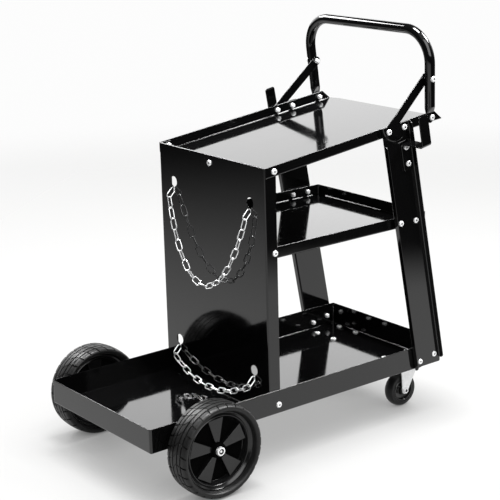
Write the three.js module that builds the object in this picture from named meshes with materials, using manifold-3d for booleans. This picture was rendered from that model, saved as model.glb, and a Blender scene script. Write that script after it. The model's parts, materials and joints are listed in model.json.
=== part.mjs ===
// Welding cart: base tray with a bottle bay, middle shelf, sloped top tray, leaning uprights,
// push handle with braces, cable hooks, two bottle chains, two fixed wheels and two swivel casters.
// Millimetres, +Z up, +X from the bottle bay to the push handle, left is -Y.
// The origin is on the floor, under the middle of the base tray.

import * as THREE from 'three';
import { mergeVertices } from 'three/addons/utils/BufferGeometryUtils.js';
import Module from 'manifold-3d';

const wasm = await Module();
wasm.setup();

// Sheet metal, the clearance between neighbours and the reach within which corners become one
const SHEET = 1.5;
const FIT = 0.3;
const WELD = 0.05;

// Base tray, its underside above the floor
const TRAY_LENGTH = 720;
const TRAY_WIDTH = 333;
const TRAY_LIP = 47;
const TRAY_HEIGHT = 98;

// Bottle panel, set back from the bottle end of the tray; heights are above the tray's underside
const PANEL_SETBACK = 271;
const PANEL_TOP = 474;
const PANEL_FLANGE = 26.5;
const PANEL_BOLT_INSET = 20.5;
const KEYHOLE_SPAN = 240;
const KEYHOLE_DIAMETER = 20;
const KEYHOLE_SLOT = 5;
const UPPER_KEYHOLE_HEIGHT = 403.5;
const LOWER_KEYHOLE_HEIGHT = 79;

// Middle shelf, from the panel to past the middle of the uprights
const SHELF_HEIGHT = 301.5;
const SHELF_LIP = 22.5;
const SHELF_PAST_UPRIGHT = 53.6;

// Top tray, rising towards the handle
const TOP_SLOPE = 6.7;
const TOP_LIP = 20.5;
const TOP_PAST_UPRIGHT = 124;
const TOP_LIP_CHAMFER = 20;
const TOP_OVERHANG = 6;
const TOP_CORNER = 26;

// Uprights: channels that lean towards the bottle bay
const UPRIGHT_LEAN = 10.4;
const UPRIGHT_WEB = 72;
const UPRIGHT_FLANGE = 12;
const UPRIGHT_CORNER = 8;
const UPRIGHT_TOP_CORNER = 10.5;
const UPRIGHT_FRONT_DROP = 34;
const UPRIGHT_END_INSET = 41.5;
const UPRIGHT_FOOT_BOLT = 18;
const UPRIGHT_BOLT_SPAN = 40;
const UPRIGHT_EDGE = 13;
const UPRIGHT_PRESSING = 34;

// Push handle of bent tube, bolted to the ends of the top tray's lips
const HANDLE_TUBE = 20;
const HANDLE_WALL = 1.2;
const HANDLE_LEAN = 4.2;
const HANDLE_SPLAY = 3.6;
const HANDLE_HEIGHT = 180;
const HANDLE_BEND = 60;
const HANDLE_END_INSET = 30;
const HANDLE_TAB = 4.1;
const HANDLE_TAB_WIDTH = 20;
const HANDLE_TAB_LENGTH = 12;
const HANDLE_TAB_OVERLAP = 10;
const HANDLE_BOLT_OFFSET = 4;

// Braces of flat bar from the uprights' tops to the handle's legs
const BRACE_WIDTH = 19;
const BRACE_THICKNESS = 2;
const BRACE_FLAT = 34;
const BRACE_HEIGHT = 78;

// Cable hooks of flat strip on the uprights
const HOOK_WIDTH = 24;
const HOOK_THICKNESS = 3;
const HOOK_BEND = 4;
const HOOK_PLATE = 58;
const HOOK_REACH = 62;
const HOOK_TIP = 60;
const HOOK_DROP = 40.2;
const HOOK_OFFSET = 17.5;

// Fixed wheels on one through axle
const WHEEL_DIAMETER = 178;
const WHEEL_WIDTH = 55;
const WHEEL_GAP = 6.7;
const TREAD_WIDTH = 37;
const TYRE_CROWN = 0.6;
const TYRE_BULGE = 7;
const RIM_SEAT = 146;
const RIM_SEAT_WIDTH = 34;
const RIM_BARREL = 8;
const RIM_DISC = 10;
const HUB_DIAMETER = 28;
const HUB_WIDTH = 22;
const BUSH_DIAMETER = 18;
const AXLE_DIAMETER = 10;
const AXLE_SETBACK = 115;
const AXLE_NUT_DIAMETER = 16;
const AXLE_NUT_HEIGHT = 9;
const BRACKET_OUTSET = 16;
const BRACKET_WIDTH = 34;
const BRACKET_LENGTH = 60;
const BRACKET_SHEET = 2;
const BRACKET_EYE = 20;
const SPACER_DIAMETER = 16;

// Swivel casters under the handle end of the tray
const CASTER_END_INSET = 45;
const CASTER_SIDE_INSET = 60.5;
const CASTER_PLATE_LENGTH = 84;
const CASTER_PLATE_WIDTH = 72;
const CASTER_PLATE_CORNER = 8;
const CASTER_PLATE = 3;
const CASTER_RACE_DIAMETER = 34;
const CASTER_RACE = 4;
const CASTER_PIN_DIAMETER = 10;
const CASTER_RIVET_DIAMETER = 16;
const CASTER_RIVET = 4;
const CASTER_FORK_SHEET = 2.5;
const CASTER_FORK_TOP = 46;
const CASTER_FORK_EYE = 15;
const CASTER_FORK_SLANT = 34;
const CASTER_TRAIL = 12.5;
const CASTER_DIAMETER = 71;
const CASTER_WIDTH = 24;
const CASTER_CROWN = 2;
const CASTER_CORE_DIAMETER = 49;
const CASTER_HUB_DIAMETER = 20;
const CASTER_HUB_WIDTH = 28.4;
const CASTER_AXLE_DIAMETER = 8;
const CASTER_AXLE_HEAD = 13;
const CASTER_AXLE_HEAD_HEIGHT = 3;

// Chains: links of round wire that hang from a tilted anchor link in each keyhole's slot.
// Neighbouring links sink into each other a little, so that a chain is one body.
const CHAIN_WIRE = 3;
const CHAIN_INNER_WIDTH = 7;
const CHAIN_INNER_LENGTH = 20;
const CHAIN_FUSE = 0.7;
const UPPER_CHAIN_SAG = 151;
const LOWER_CHAIN_SAG = 34;
const UPPER_CHAIN_TILT = 4.9;
const LOWER_CHAIN_TILT = 10.9;
const ANCHOR_TILT = 45;
const ANCHOR_STANDOFF = 2.5;

// Sheet-metal bolts with a domed head and a nut
const BOLT_DIAMETER = 6;
const BOLT_HEAD_DIAMETER = 10.5;
const BOLT_HEAD_HEIGHT = 3;
const BOLT_NUT_DIAMETER = 11;
const BOLT_NUT_HEIGHT = 4.5;
const DOME_SHOULDER = 0.9;

// Facets of round surfaces, steps of the handle's bend and passes of the chains' curve
const WHEEL_SIDES = 28;
const CASTER_SIDES = 20;
const ROUND_SIDES = 12;
const KEYHOLE_SIDES = 16;
const BOLT_SIDES = 8;
const ARC_STEPS = 3;
const TUBE_ARC_STEPS = 4;
const LINK_WIRE_SIDES = 6;
const LINK_LOOP_SIDES = 8;
const HANDLE_STEPS = 30;
const HANG_PASSES = 200;

// Places worked out from the sizes above
const DEG = Math.PI / 180;
const HALF_LENGTH = TRAY_LENGTH / 2;
const HALF_WIDTH = TRAY_WIDTH / 2;
const DECK = TRAY_HEIGHT + SHEET;
const PANEL_X = PANEL_SETBACK - HALF_LENGTH;
const PANEL_BACK = PANEL_X + SHEET;
const PANEL_HALF = HALF_WIDTH - SHEET - FIT;
const PANEL_BOLT_X = PANEL_X + PANEL_BOLT_INSET;
const SHELF_HALF = PANEL_HALF - SHEET - FIT;
const SHELF_Z = TRAY_HEIGHT + SHELF_HEIGHT;
const SHELF_BOLT_Z = SHELF_Z + SHELF_LIP / 2;
const TOP_X = PANEL_BACK + FIT;
const TOP_Z = TRAY_HEIGHT + PANEL_TOP - TOP_LIP;
const TOP_RISE = Math.tan(TOP_SLOPE * DEG);
const UPRIGHT_FACE = HALF_WIDTH + FIT;
const PRESSING_DEPTH = BRACE_THICKNESS + FIT;
const HOLE_DIAMETER = BOLT_DIAMETER + 2 * FIT;
const AXLE_X = AXLE_SETBACK - HALF_LENGTH;
const AXLE_Z = WHEEL_DIAMETER / 2;
const WHEEL_Y = HALF_WIDTH + WHEEL_GAP + WHEEL_WIDTH / 2;
const CASTER_X = HALF_LENGTH - CASTER_END_INSET;
const CASTER_Y = HALF_WIDTH - CASTER_SIDE_INSET;
const CASTER_AXLE_Z = CASTER_DIAMETER / 2;
const LINK_RADIUS = (CHAIN_INNER_WIDTH + CHAIN_WIRE) / 2;
const CHAIN_PITCH = CHAIN_INNER_LENGTH + CHAIN_FUSE;
const ANCHOR_STRAIGHT = CHAIN_INNER_LENGTH + CHAIN_WIRE - 2 * LINK_RADIUS;
const ANCHOR_RUN = ANCHOR_STRAIGHT * Math.cos(ANCHOR_TILT * DEG);
const ANCHOR_RISE = ANCHOR_STRAIGHT * Math.sin(ANCHOR_TILT * DEG);
const CHAIN_X = PANEL_X - ANCHOR_STANDOFF - ANCHOR_RUN;
const LINK_BOW = LINK_RADIUS / Math.cos(Math.PI / LINK_LOOP_SIDES);
const ANCHOR_HALF = Math.sqrt((LINK_BOW + CHAIN_WIRE / 2) ** 2 - ANCHOR_STANDOFF ** 2);
const ANCHOR_DROP = KEYHOLE_DIAMETER / 2 + ANCHOR_HALF;

const SIDES = [
  { name: 'left', sign: -1 },
  { name: 'right', sign: 1 },
];

// Finishes
const FINISHES = {
  paint: { color: 0x0b0b0c, roughness: 0.18, metalness: 0.1 },
  zinc: { color: 0xc8cacc, roughness: 0.32, metalness: 1 },
  rubber: { color: 0x141414, roughness: 0.75, metalness: 0 },
  plastic: { color: 0x1c1c1d, roughness: 0.5, metalness: 0 },
  steel: { color: 0x8a8d90, roughness: 0.45, metalness: 0.9 },
};

const cart = new THREE.Group();

// Adds one named piece to a group, at a place and turned about Y.
function add(group, name, finish, shape, place = [0, 0, 0], turn = 0) {
  const geometry = shape.isBufferGeometry ? shape : meshOf(shape);
  const piece = new THREE.Mesh(geometry, new THREE.MeshStandardMaterial(FINISHES[finish]));
  piece.name = name;
  piece.position.set(...place);
  piece.rotation.y = turn;
  group.add(piece);
}

// Turns a closed three.js geometry into a solid that can be joined and cut.
function solid(geometry) {
  geometry.deleteAttribute('normal');
  geometry.deleteAttribute('uv');
  const merged = mergeVertices(geometry, 1e-4);
  return new wasm.Manifold(new wasm.Mesh({
    numProp: 3,
    vertProperties: new Float32Array(merged.attributes.position.array),
    triVerts: new Uint32Array(merged.index.array),
  }));
}

// Turns a joined or cut solid back into a three.js geometry.
function meshOf(body) {
  const mesh = body.simplify(WELD).getMesh();
  const geometry = new THREE.BufferGeometry();
  geometry.setAttribute('position', new THREE.BufferAttribute(new Float32Array(mesh.vertProperties), 3));
  geometry.setIndex(new THREE.BufferAttribute(new Uint32Array(mesh.triVerts), 1));
  geometry.computeVertexNormals();
  return geometry;
}

function join(...bodies) {
  return bodies.reduce((whole, body) => whole.add(body));
}

function cut(body, tools) {
  return tools.reduce((rest, tool) => rest.subtract(tool), body);
}

function box(x0, x1, y0, y1, z0, z1) {
  const geometry = new THREE.BoxGeometry(x1 - x0, y1 - y0, z1 - z0);
  geometry.translate((x0 + x1) / 2, (y0 + y1) / 2, (z0 + z1) / 2);
  return solid(geometry);
}

// A drawn outline given thickness, with the outline's own axes laid along two directions.
function slab(shape, thickness, xAxis, yAxis, origin) {
  const geometry = new THREE.ExtrudeGeometry(shape, {
    depth: thickness, bevelEnabled: false, curveSegments: ARC_STEPS,
  });
  const zAxis = new THREE.Vector3().crossVectors(xAxis, yAxis);
  const place = new THREE.Matrix4().makeBasis(xAxis, yAxis, zAxis).setPosition(...origin);
  geometry.applyMatrix4(place);
  return solid(geometry);
}

const X = new THREE.Vector3(1, 0, 0);
const Y = new THREE.Vector3(0, 1, 0);
const Z = new THREE.Vector3(0, 0, 1);

// An outline seen from the side, in X and Z, between two places across the cart.
function sideSlab(shape, yA, yB) {
  return slab(shape, Math.abs(yB - yA), X, Z, [0, Math.max(yA, yB), 0]);
}

// An outline seen from above, in X and Y, between two heights.
function planSlab(shape, z0, z1) {
  return slab(shape, z1 - z0, X, Y, [0, 0, z0]);
}

function polygon(points) {
  return new THREE.Shape(points.map(([x, y]) => new THREE.Vector2(x, y)));
}

// A round bar along Y, at a place of the side view.
function crossRod(at, diameter, yA, yB, sides) {
  const geometry = new THREE.CylinderGeometry(diameter / 2, diameter / 2, Math.abs(yB - yA), sides);
  geometry.translate(at.x, (yA + yB) / 2, at.z);
  return solid(geometry);
}

// A turned piece about Y, from a closed profile of radius and height.
function turned(profile, sides) {
  return new THREE.LatheGeometry(profile.map(([r, y]) => new THREE.Vector2(r, y)), sides);
}

function ring(inner, outer, yA, yB, sides) {
  return turned([[inner, yA], [outer, yA], [outer, yB], [inner, yB], [inner, yA]], sides);
}

// A frame of the side view turned about Y: maps its own across and up to the cart's X and Z.
class SideFrame {
  constructor(origin, leanDegrees) {
    this.origin = origin;
    this.turn = -leanDegrees * DEG;
  }

  toCart(u, w) {
    const c = Math.cos(this.turn);
    const s = Math.sin(this.turn);
    return { x: this.origin.x + u * c + w * s, z: this.origin.z - u * s + w * c };
  }

  toFrame(point) {
    const c = Math.cos(this.turn);
    const s = Math.sin(this.turn);
    const dx = point.x - this.origin.x;
    const dz = point.z - this.origin.z;
    return { x: dx * c - dz * s, z: dx * s + dz * c };
  }

  get place() {
    return [this.origin.x, 0, this.origin.z];
  }
}

// Heights of the top tray's floor underside and of the middle of its lips
function topFloorZ(x) {
  return TOP_Z + (x - TOP_X) * TOP_RISE;
}

function topLipMiddle(x) {
  return { x, z: topFloorZ(x) + TOP_LIP / 2 };
}

// The uprights' frame: origin at the foot, with the foot bolts on the base tray's lip.
const leanSine = Math.sin(UPRIGHT_LEAN * DEG);
const leanCosine = Math.cos(UPRIGHT_LEAN * DEG);
const footBolt = { x: HALF_LENGTH - UPRIGHT_END_INSET, z: TRAY_HEIGHT + UPRIGHT_FOOT_BOLT };
const uprightFrame = new SideFrame(
  { x: footBolt.x + UPRIGHT_EDGE * leanSine, z: footBolt.z - UPRIGHT_EDGE * leanCosine },
  UPRIGHT_LEAN,
);

// Place on the uprights' centre line at a height above the floor
function uprightAt(z) {
  return { x: footBolt.x - (z - footBolt.z) * (leanSine / leanCosine), z };
}

// Where the uprights' centre line crosses the middle of the top tray's lips
function uprightTop() {
  const slant = leanSine / leanCosine;
  const level = topLipMiddle(footBolt.x).z - footBolt.z;
  const rise = level / (1 + slant * TOP_RISE);
  return uprightAt(footBolt.z + rise);
}

// The uprights end along the upper edge of the top tray's lips.
const topBolt = uprightTop();
const lipReach = TOP_LIP / 2 / (leanCosine + leanSine * TOP_RISE);
const uprightLength = uprightFrame.toFrame(topBolt).z + lipReach;
const topFall = (UPRIGHT_LEAN - TOP_SLOPE) * DEG;

function uprightEnd(u) {
  return uprightLength - u * Math.tan(topFall);
}

// Bolt places on each side of the cart, in the side view
const halfSpan = UPRIGHT_BOLT_SPAN / 2;
const topBolts = [-halfSpan, halfSpan].map((step) => topLipMiddle(topBolt.x + step));
const shelfBoltX = uprightAt(SHELF_BOLT_Z).x;
const shelfBolts = [-halfSpan, halfSpan].map((step) => ({ x: shelfBoltX + step, z: SHELF_BOLT_Z }));
const footBolts = [-halfSpan, halfSpan].map((step) => uprightFrame.toCart(step, UPRIGHT_EDGE));
const panelBolts = {
  top: topLipMiddle(PANEL_BOLT_X),
  shelf: { x: PANEL_BOLT_X, z: SHELF_BOLT_Z },
  base: { x: PANEL_BOLT_X, z: TRAY_HEIGHT + UPRIGHT_FOOT_BOLT },
};

// The handle's frame: origin at the bolt near the end of the top tray's lips.
const topLipEnd = topBolt.x + TOP_PAST_UPRIGHT;
const handleBolt = topLipMiddle(topLipEnd - HANDLE_END_INSET);
const handleFrame = new SideFrame(handleBolt, HANDLE_LEAN);
const handleSplay = HANDLE_SPLAY * DEG;

// How far a handle's leg is from the cart's middle, at a height above its bolt
function handleLegY(w) {
  return UPRIGHT_FACE + HANDLE_TAB / 2 + w * Math.tan(handleSplay);
}

// Bolt holes right across the cart
function holesAcross(places) {
  return places.map((at) => crossRod(at, HOLE_DIAMETER, -TRAY_WIDTH, TRAY_WIDTH, BOLT_SIDES));
}

function makeBaseTray() {
  const lipTop = TRAY_HEIGHT + TRAY_LIP;
  const endInside = HALF_LENGTH - SHEET;
  const sideInside = HALF_WIDTH - SHEET;
  const outside = box(-HALF_LENGTH, HALF_LENGTH, -HALF_WIDTH, HALF_WIDTH, TRAY_HEIGHT, lipTop);
  const inside = box(-endInside, endInside, -sideInside, sideInside, DECK, lipTop + TRAY_LIP);
  return cut(outside, [inside, ...holesAcross([panelBolts.base, ...footBolts])]);
}

// A keyhole: a round hole with a slot below it, cut through the panel
function keyhole(y, height) {
  const z = TRAY_HEIGHT + height;
  const slotEnd = z - ANCHOR_DROP - ANCHOR_HALF - FIT;
  const radius = KEYHOLE_DIAMETER / 2;
  const round = new THREE.CylinderGeometry(radius, radius, 2 * PANEL_FLANGE, KEYHOLE_SIDES);
  round.rotateZ(Math.PI / 2);
  round.translate(PANEL_X, y, z);
  const half = KEYHOLE_SLOT / 2;
  const slot = box(PANEL_X - PANEL_FLANGE, PANEL_X + PANEL_FLANGE, y - half, y + half, slotEnd, z);
  return solid(round).add(slot);
}

function makeBottlePanel() {
  const flangeEnd = PANEL_X + PANEL_FLANGE;
  const inner = PANEL_HALF - SHEET;
  const plan = polygon([
    [PANEL_X, -PANEL_HALF], [flangeEnd, -PANEL_HALF], [flangeEnd, -inner], [PANEL_BACK, -inner],
    [PANEL_BACK, inner], [flangeEnd, inner], [flangeEnd, PANEL_HALF], [PANEL_X, PANEL_HALF],
  ]);
  const folded = planSlab(plan, DECK + FIT, TRAY_HEIGHT + PANEL_TOP);
  const keyholes = [UPPER_KEYHOLE_HEIGHT, LOWER_KEYHOLE_HEIGHT].flatMap((height) => (
    SIDES.map(({ sign }) => keyhole(sign * KEYHOLE_SPAN / 2, height))
  ));
  const bolts = holesAcross(Object.values(panelBolts));
  return cut(folded, [...keyholes, ...bolts]);
}

function makeMiddleShelf() {
  const x0 = PANEL_BACK + FIT;
  const x1 = shelfBoltX + SHELF_PAST_UPRIGHT;
  const outside = box(x0, x1, -SHELF_HALF, SHELF_HALF, SHELF_Z, SHELF_Z + SHELF_LIP);
  const inside = box(
    x0 + SHEET, x1 - SHEET, -SHELF_HALF + SHEET, SHELF_HALF - SHEET,
    SHELF_Z + SHEET, SHELF_Z + 2 * SHELF_LIP,
  );
  return cut(outside, [inside, ...holesAcross([panelBolts.shelf, ...shelfBolts])]);
}

function makeTopTray() {
  const lipEnd = topLipEnd;
  const floorEnd = lipEnd + TOP_OVERHANG;
  const fold = TOP_X + TOP_LIP * TOP_RISE;
  const floorSide = polygon([
    [fold, topFloorZ(fold)], [floorEnd, topFloorZ(floorEnd)],
    [floorEnd, topFloorZ(floorEnd) + SHEET], [fold, topFloorZ(fold) + SHEET],
  ]);
  const notchEnd = PANEL_X + PANEL_FLANGE + FIT;
  const plan = polygon([
    [TOP_X, -SHELF_HALF], [notchEnd, -SHELF_HALF], [notchEnd, -HALF_WIDTH], [lipEnd, -HALF_WIDTH],
    [floorEnd, -HALF_WIDTH + TOP_CORNER], [floorEnd, HALF_WIDTH - TOP_CORNER],
    [lipEnd, HALF_WIDTH], [notchEnd, HALF_WIDTH], [notchEnd, SHELF_HALF], [TOP_X, SHELF_HALF],
  ]);
  const above = topFloorZ(floorEnd) + TOP_LIP;
  const floor = sideSlab(floorSide, -HALF_WIDTH, HALF_WIDTH).intersect(planSlab(plan, 0, above));
  const lipSide = polygon([
    [TOP_X, TOP_Z], [lipEnd, topFloorZ(lipEnd)], [lipEnd, topFloorZ(lipEnd) + SHEET],
    [lipEnd - TOP_LIP_CHAMFER, topFloorZ(lipEnd - TOP_LIP_CHAMFER) + TOP_LIP], [TOP_X, TOP_Z + TOP_LIP],
  ]);
  const lips = SIDES.map(({ sign }) => sideSlab(lipSide, sign * (HALF_WIDTH - SHEET), sign * HALF_WIDTH));
  const foldFrame = new SideFrame({ x: fold, z: topFloorZ(fold) }, TOP_SLOPE);
  const frontCorners = [[0, 0], [SHEET, 0], [SHEET, TOP_LIP], [0, TOP_LIP]];
  const frontSide = frontCorners.map(([u, w]) => {
    const { x, z } = foldFrame.toCart(u, w);
    return [x, z];
  });
  const frontLip = sideSlab(polygon(frontSide), -SHELF_HALF, SHELF_HALF);
  return cut(join(floor, ...lips, frontLip), holesAcross([panelBolts.top, ...topBolts, handleBolt]));
}

// The outline of a flange with a rounded corner at each end of its free edge
function flangeStrip(length, topRadius) {
  const width = UPRIGHT_FLANGE;
  const low = UPRIGHT_CORNER;
  const shape = new THREE.Shape();
  shape.moveTo(0, 0);
  shape.lineTo(width - low, 0);
  shape.absarc(width - low, low, low, -Math.PI / 2, 0, false);
  shape.lineTo(width, length - topRadius);
  shape.absarc(width - topRadius, length - topRadius, topRadius, 0, Math.PI / 2, false);
  shape.lineTo(0, length);
  return shape;
}

// The lower half of a disc on the upright's end, carried on past that end by a height
function halfDisc(radius, past) {
  const along = new THREE.Vector2(Math.cos(topFall), -Math.sin(topFall));
  const beyond = new THREE.Vector2(past * Math.sin(topFall), uprightLength + past * Math.cos(topFall));
  const shape = new THREE.Shape();
  shape.absarc(0, uprightLength, radius, Math.PI - topFall, 2 * Math.PI - topFall, false);
  for (const step of [radius, -radius]) {
    shape.lineTo(beyond.x + step * along.x, beyond.y + step * along.y);
  }
  return shape;
}

// An upright in its own frame: a channel with outward flanges, the front one shorter, and a pressing
// at its top that makes room for the brace behind it.
function makeUpright(sign) {
  const half = UPRIGHT_WEB / 2;
  const out = (depth) => sign * (UPRIGHT_FACE + depth);
  const webShape = polygon([[-half, 0], [half, 0], [half, uprightEnd(half)], [-half, uprightEnd(-half)]]);
  const web = sideSlab(webShape, out(0), out(SHEET));
  const outward = new THREE.Vector3(0, sign, 0);
  const front = flangeStrip(uprightLength - UPRIGHT_FRONT_DROP, UPRIGHT_CORNER);
  const back = flangeStrip(uprightEnd(half), UPRIGHT_TOP_CORNER);
  const flanges = [[front, -half], [back, half - SHEET]].map(([shape, x]) => {
    const start = sign > 0 ? x : x + SHEET;
    return slab(shape, SHEET, outward, Z, [start, out(0), 0]);
  });
  const pressing = sideSlab(halfDisc(UPRIGHT_PRESSING, 0), out(0), out(PRESSING_DEPTH + SHEET));
  const pocket = sideSlab(halfDisc(UPRIGHT_PRESSING - SHEET, SHEET), out(-SHEET), out(PRESSING_DEPTH));
  const holes = [...footBolts, ...shelfBolts, ...topBolts].map((at) => uprightFrame.toFrame(at));
  return cut(join(web, ...flanges, pressing), [pocket, ...holesAcross(holes)]);
}

// The handle's centre line, in its own frame: legs that splay upwards, bends and a crossbar
class HandlePath extends THREE.Curve {
  getPoint(t) {
    const crown = HANDLE_HEIGHT - HANDLE_TUBE / 2;
    const bendZ = crown - HANDLE_BEND;
    const legEnd = bendZ - HANDLE_BEND * Math.sin(handleSplay);
    const bendY = handleLegY(legEnd) - HANDLE_BEND * Math.cos(handleSplay);
    const leg = (legEnd - HANDLE_TAB_LENGTH) / Math.cos(handleSplay);
    const arc = HANDLE_BEND * (Math.PI / 2 + handleSplay);
    const along = Math.min(t, 1 - t) * 2 * (leg + arc + bendY);
    const sign = t < 0.5 ? -1 : 1;
    if (along < leg) {
      const w = HANDLE_TAB_LENGTH + along * Math.cos(handleSplay);
      return new THREE.Vector3(-HANDLE_BOLT_OFFSET, sign * handleLegY(w), w);
    }
    if (along < leg + arc) {
      const angle = (along - leg) / HANDLE_BEND - handleSplay;
      const y = bendY + HANDLE_BEND * Math.cos(angle);
      return new THREE.Vector3(-HANDLE_BOLT_OFFSET, sign * y, bendZ + HANDLE_BEND * Math.sin(angle));
    }
    return new THREE.Vector3(-HANDLE_BOLT_OFFSET, sign * (bendY - (along - leg - arc)), crown);
  }
}

// The handle in its own frame: a hollow tube with a flat tab at the foot of each leg
function makeHandle() {
  const section = new THREE.Shape();
  section.absarc(0, 0, HANDLE_TUBE / 2, 0, 2 * Math.PI, false);
  const bore = new THREE.Path();
  bore.absarc(0, 0, HANDLE_TUBE / 2 - HANDLE_WALL, 0, 2 * Math.PI, true);
  section.holes.push(bore);
  const tube = solid(new THREE.ExtrudeGeometry(section, {
    steps: HANDLE_STEPS, curveSegments: TUBE_ARC_STEPS, extrudePath: new HandlePath(),
  }));
  const reach = HANDLE_TAB_WIDTH / 2;
  const tabShape = new THREE.Shape();
  tabShape.absarc(-HANDLE_BOLT_OFFSET, 0, reach, Math.PI, 2 * Math.PI, false);
  tabShape.lineTo(reach - HANDLE_BOLT_OFFSET, HANDLE_TAB_LENGTH + HANDLE_TAB_OVERLAP);
  tabShape.lineTo(-reach - HANDLE_BOLT_OFFSET, HANDLE_TAB_LENGTH + HANDLE_TAB_OVERLAP);
  const tabFace = UPRIGHT_FACE + HANDLE_TAB;
  const tabs = SIDES.map(({ sign }) => sideSlab(tabShape, sign * UPRIGHT_FACE, sign * tabFace));
  return cut(join(tube, ...tabs), holesAcross([{ x: 0, z: 0 }]));
}

// A brace: flat bar with round ends from the upright's first top bolt to the inside of the handle's leg.
// Its foot lies flat on the lip, and above the lip it slants inwards.
function makeBrace(sign) {
  const low = topBolts[0];
  const high = handleFrame.toCart(-HANDLE_BOLT_OFFSET, BRACE_HEIGHT);
  const angle = Math.atan2(high.z - low.z, high.x - low.x);
  const span = Math.hypot(high.x - low.x, high.z - low.z);
  const radius = BRACE_WIDTH / 2;
  const outline = new THREE.Shape();
  outline.absarc(low.x, low.z, radius, angle + Math.PI / 2, angle + 1.5 * Math.PI, false);
  outline.absarc(high.x, high.z, radius, angle - Math.PI / 2, angle + Math.PI / 2, false);
  const under = radius / Math.cos(angle);
  const legFace = handleLegY(BRACE_HEIGHT - under) - HANDLE_TUBE / 2 - FIT;
  const outer = UPRIGHT_FACE + BRACE_THICKNESS;
  const slant = (outer - legFace) / (span - under * Math.sin(angle) - BRACE_FLAT);
  const end = span + BRACE_WIDTH;
  const drop = (end - BRACE_FLAT) * slant;
  const side = polygon([
    [-BRACE_WIDTH, UPRIGHT_FACE], [BRACE_FLAT, UPRIGHT_FACE], [end, UPRIGHT_FACE - drop],
    [end, outer - drop], [BRACE_FLAT, outer], [-BRACE_WIDTH, outer],
  ]);
  const along = new THREE.Vector3(Math.cos(angle), 0, Math.sin(angle));
  const outwards = new THREE.Vector3(0, sign, 0);
  const across = new THREE.Vector3().crossVectors(along, outwards);
  const start = new THREE.Vector3(low.x, 0, low.z).addScaledVector(across, -BRACE_WIDTH);
  const strip = slab(side, 2 * BRACE_WIDTH, along, outwards, start.toArray());
  const bar = sideSlab(outline, 0, sign * (outer + BRACE_WIDTH));
  return cut(strip.intersect(bar), holesAcross([low]));
}

// A cable hook in the upright's frame: a strip bent out from the top of its plate and up at its tip
function makeHook(sign) {
  const inner = HOOK_BEND;
  const outer = HOOK_BEND + HOOK_THICKNESS;
  const tip = HOOK_REACH - HOOK_THICKNESS;
  const shape = new THREE.Shape();
  shape.moveTo(0, -HOOK_PLATE);
  shape.lineTo(HOOK_THICKNESS, -HOOK_PLATE);
  shape.lineTo(HOOK_THICKNESS, -outer);
  shape.absarc(outer, -outer, inner, Math.PI, Math.PI / 2, true);
  shape.lineTo(tip - inner, -HOOK_THICKNESS);
  shape.absarc(tip - inner, inner, outer, -Math.PI / 2, 0, false);
  shape.lineTo(HOOK_REACH, HOOK_TIP);
  shape.lineTo(tip, HOOK_TIP);
  shape.lineTo(tip, inner);
  shape.absarc(tip - inner, inner, inner, 0, -Math.PI / 2, true);
  shape.lineTo(outer, 0);
  shape.absarc(outer, -outer, outer, Math.PI / 2, Math.PI, false);
  const outward = new THREE.Vector3(0, sign, 0);
  const start = HOOK_OFFSET - sign * HOOK_WIDTH / 2;
  const face = sign * (UPRIGHT_FACE + SHEET + FIT);
  return slab(shape, HOOK_WIDTH, outward, Z, [start, face, uprightLength - HOOK_DROP]);
}

// A bolt about Y, its head outside and its nut at the end of the clamped stack
function makeBolt(grip) {
  const shank = BOLT_DIAMETER / 2;
  const head = BOLT_HEAD_DIAMETER / 2;
  const nut = BOLT_NUT_DIAMETER / 2;
  return turned([
    [0, -grip - BOLT_NUT_HEIGHT], [nut, -grip - BOLT_NUT_HEIGHT], [nut, -grip], [shank, -grip],
    [shank, 0], [head, 0], [head * DOME_SHOULDER, BOLT_HEAD_HEIGHT / 2],
    [head / 2, BOLT_HEAD_HEIGHT], [0, BOLT_HEAD_HEIGHT],
  ], BOLT_SIDES);
}

// Adds a bolt on one side, between the faces that its head and its nut clamp
function addBolt(name, side, at, headFace, nutFace) {
  const geometry = makeBolt(headFace - nutFace + 2 * FIT);
  if (side.sign < 0) {
    geometry.rotateZ(Math.PI);
  }
  add(cart, `${name}_${side.name}`, 'zinc', geometry, [at.x, side.sign * (headFace + FIT), at.z]);
}

function makeTyre() {
  const seat = RIM_SEAT / 2;
  const seatHalf = RIM_SEAT_WIDTH / 2;
  const tread = WHEEL_DIAMETER / 2;
  const half = WHEEL_WIDTH / 2;
  const wall = (seat + tread) / 2;
  const bulge = TYRE_BULGE / 2;
  const side = [[wall - bulge, half], [wall + bulge, half], [tread - TYRE_CROWN, TREAD_WIDTH / 2]];
  return turned([
    [seat, -seatHalf], ...side.map(([r, y]) => [r, -y]), [tread, 0],
    ...[...side].reverse(), [seat, seatHalf], [seat, -seatHalf],
  ], WHEEL_SIDES);
}

// The rim: a hub and a seat for the tyre, joined by a disc
function makeRim() {
  const bore = BUSH_DIAMETER / 2 + FIT;
  const hub = HUB_DIAMETER / 2;
  const seat = RIM_SEAT / 2 - FIT;
  const barrel = seat - RIM_BARREL;
  const seatHalf = RIM_SEAT_WIDTH / 2;
  const disc = RIM_DISC / 2;
  const hubHalf = HUB_WIDTH / 2;
  const half = [
    [seat, seatHalf], [barrel, seatHalf], [barrel, disc], [hub, disc], [hub, hubHalf], [bore, hubHalf],
  ];
  const otherHalf = half.map(([r, y]) => [r, -y]).reverse();
  return turned([...otherHalf, ...half, otherHalf[0]], WHEEL_SIDES);
}

// A cap nut that covers the end of the axle
function makeAxleNut() {
  const bore = AXLE_DIAMETER / 2 + FIT;
  const outer = AXLE_NUT_DIAMETER / 2;
  const crown = AXLE_NUT_HEIGHT;
  return turned([
    [0, crown / 2], [bore, crown / 2], [bore, 0], [outer, 0],
    [outer, crown / 2], [outer / 2, crown], [0, crown],
  ], ROUND_SIDES);
}

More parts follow.
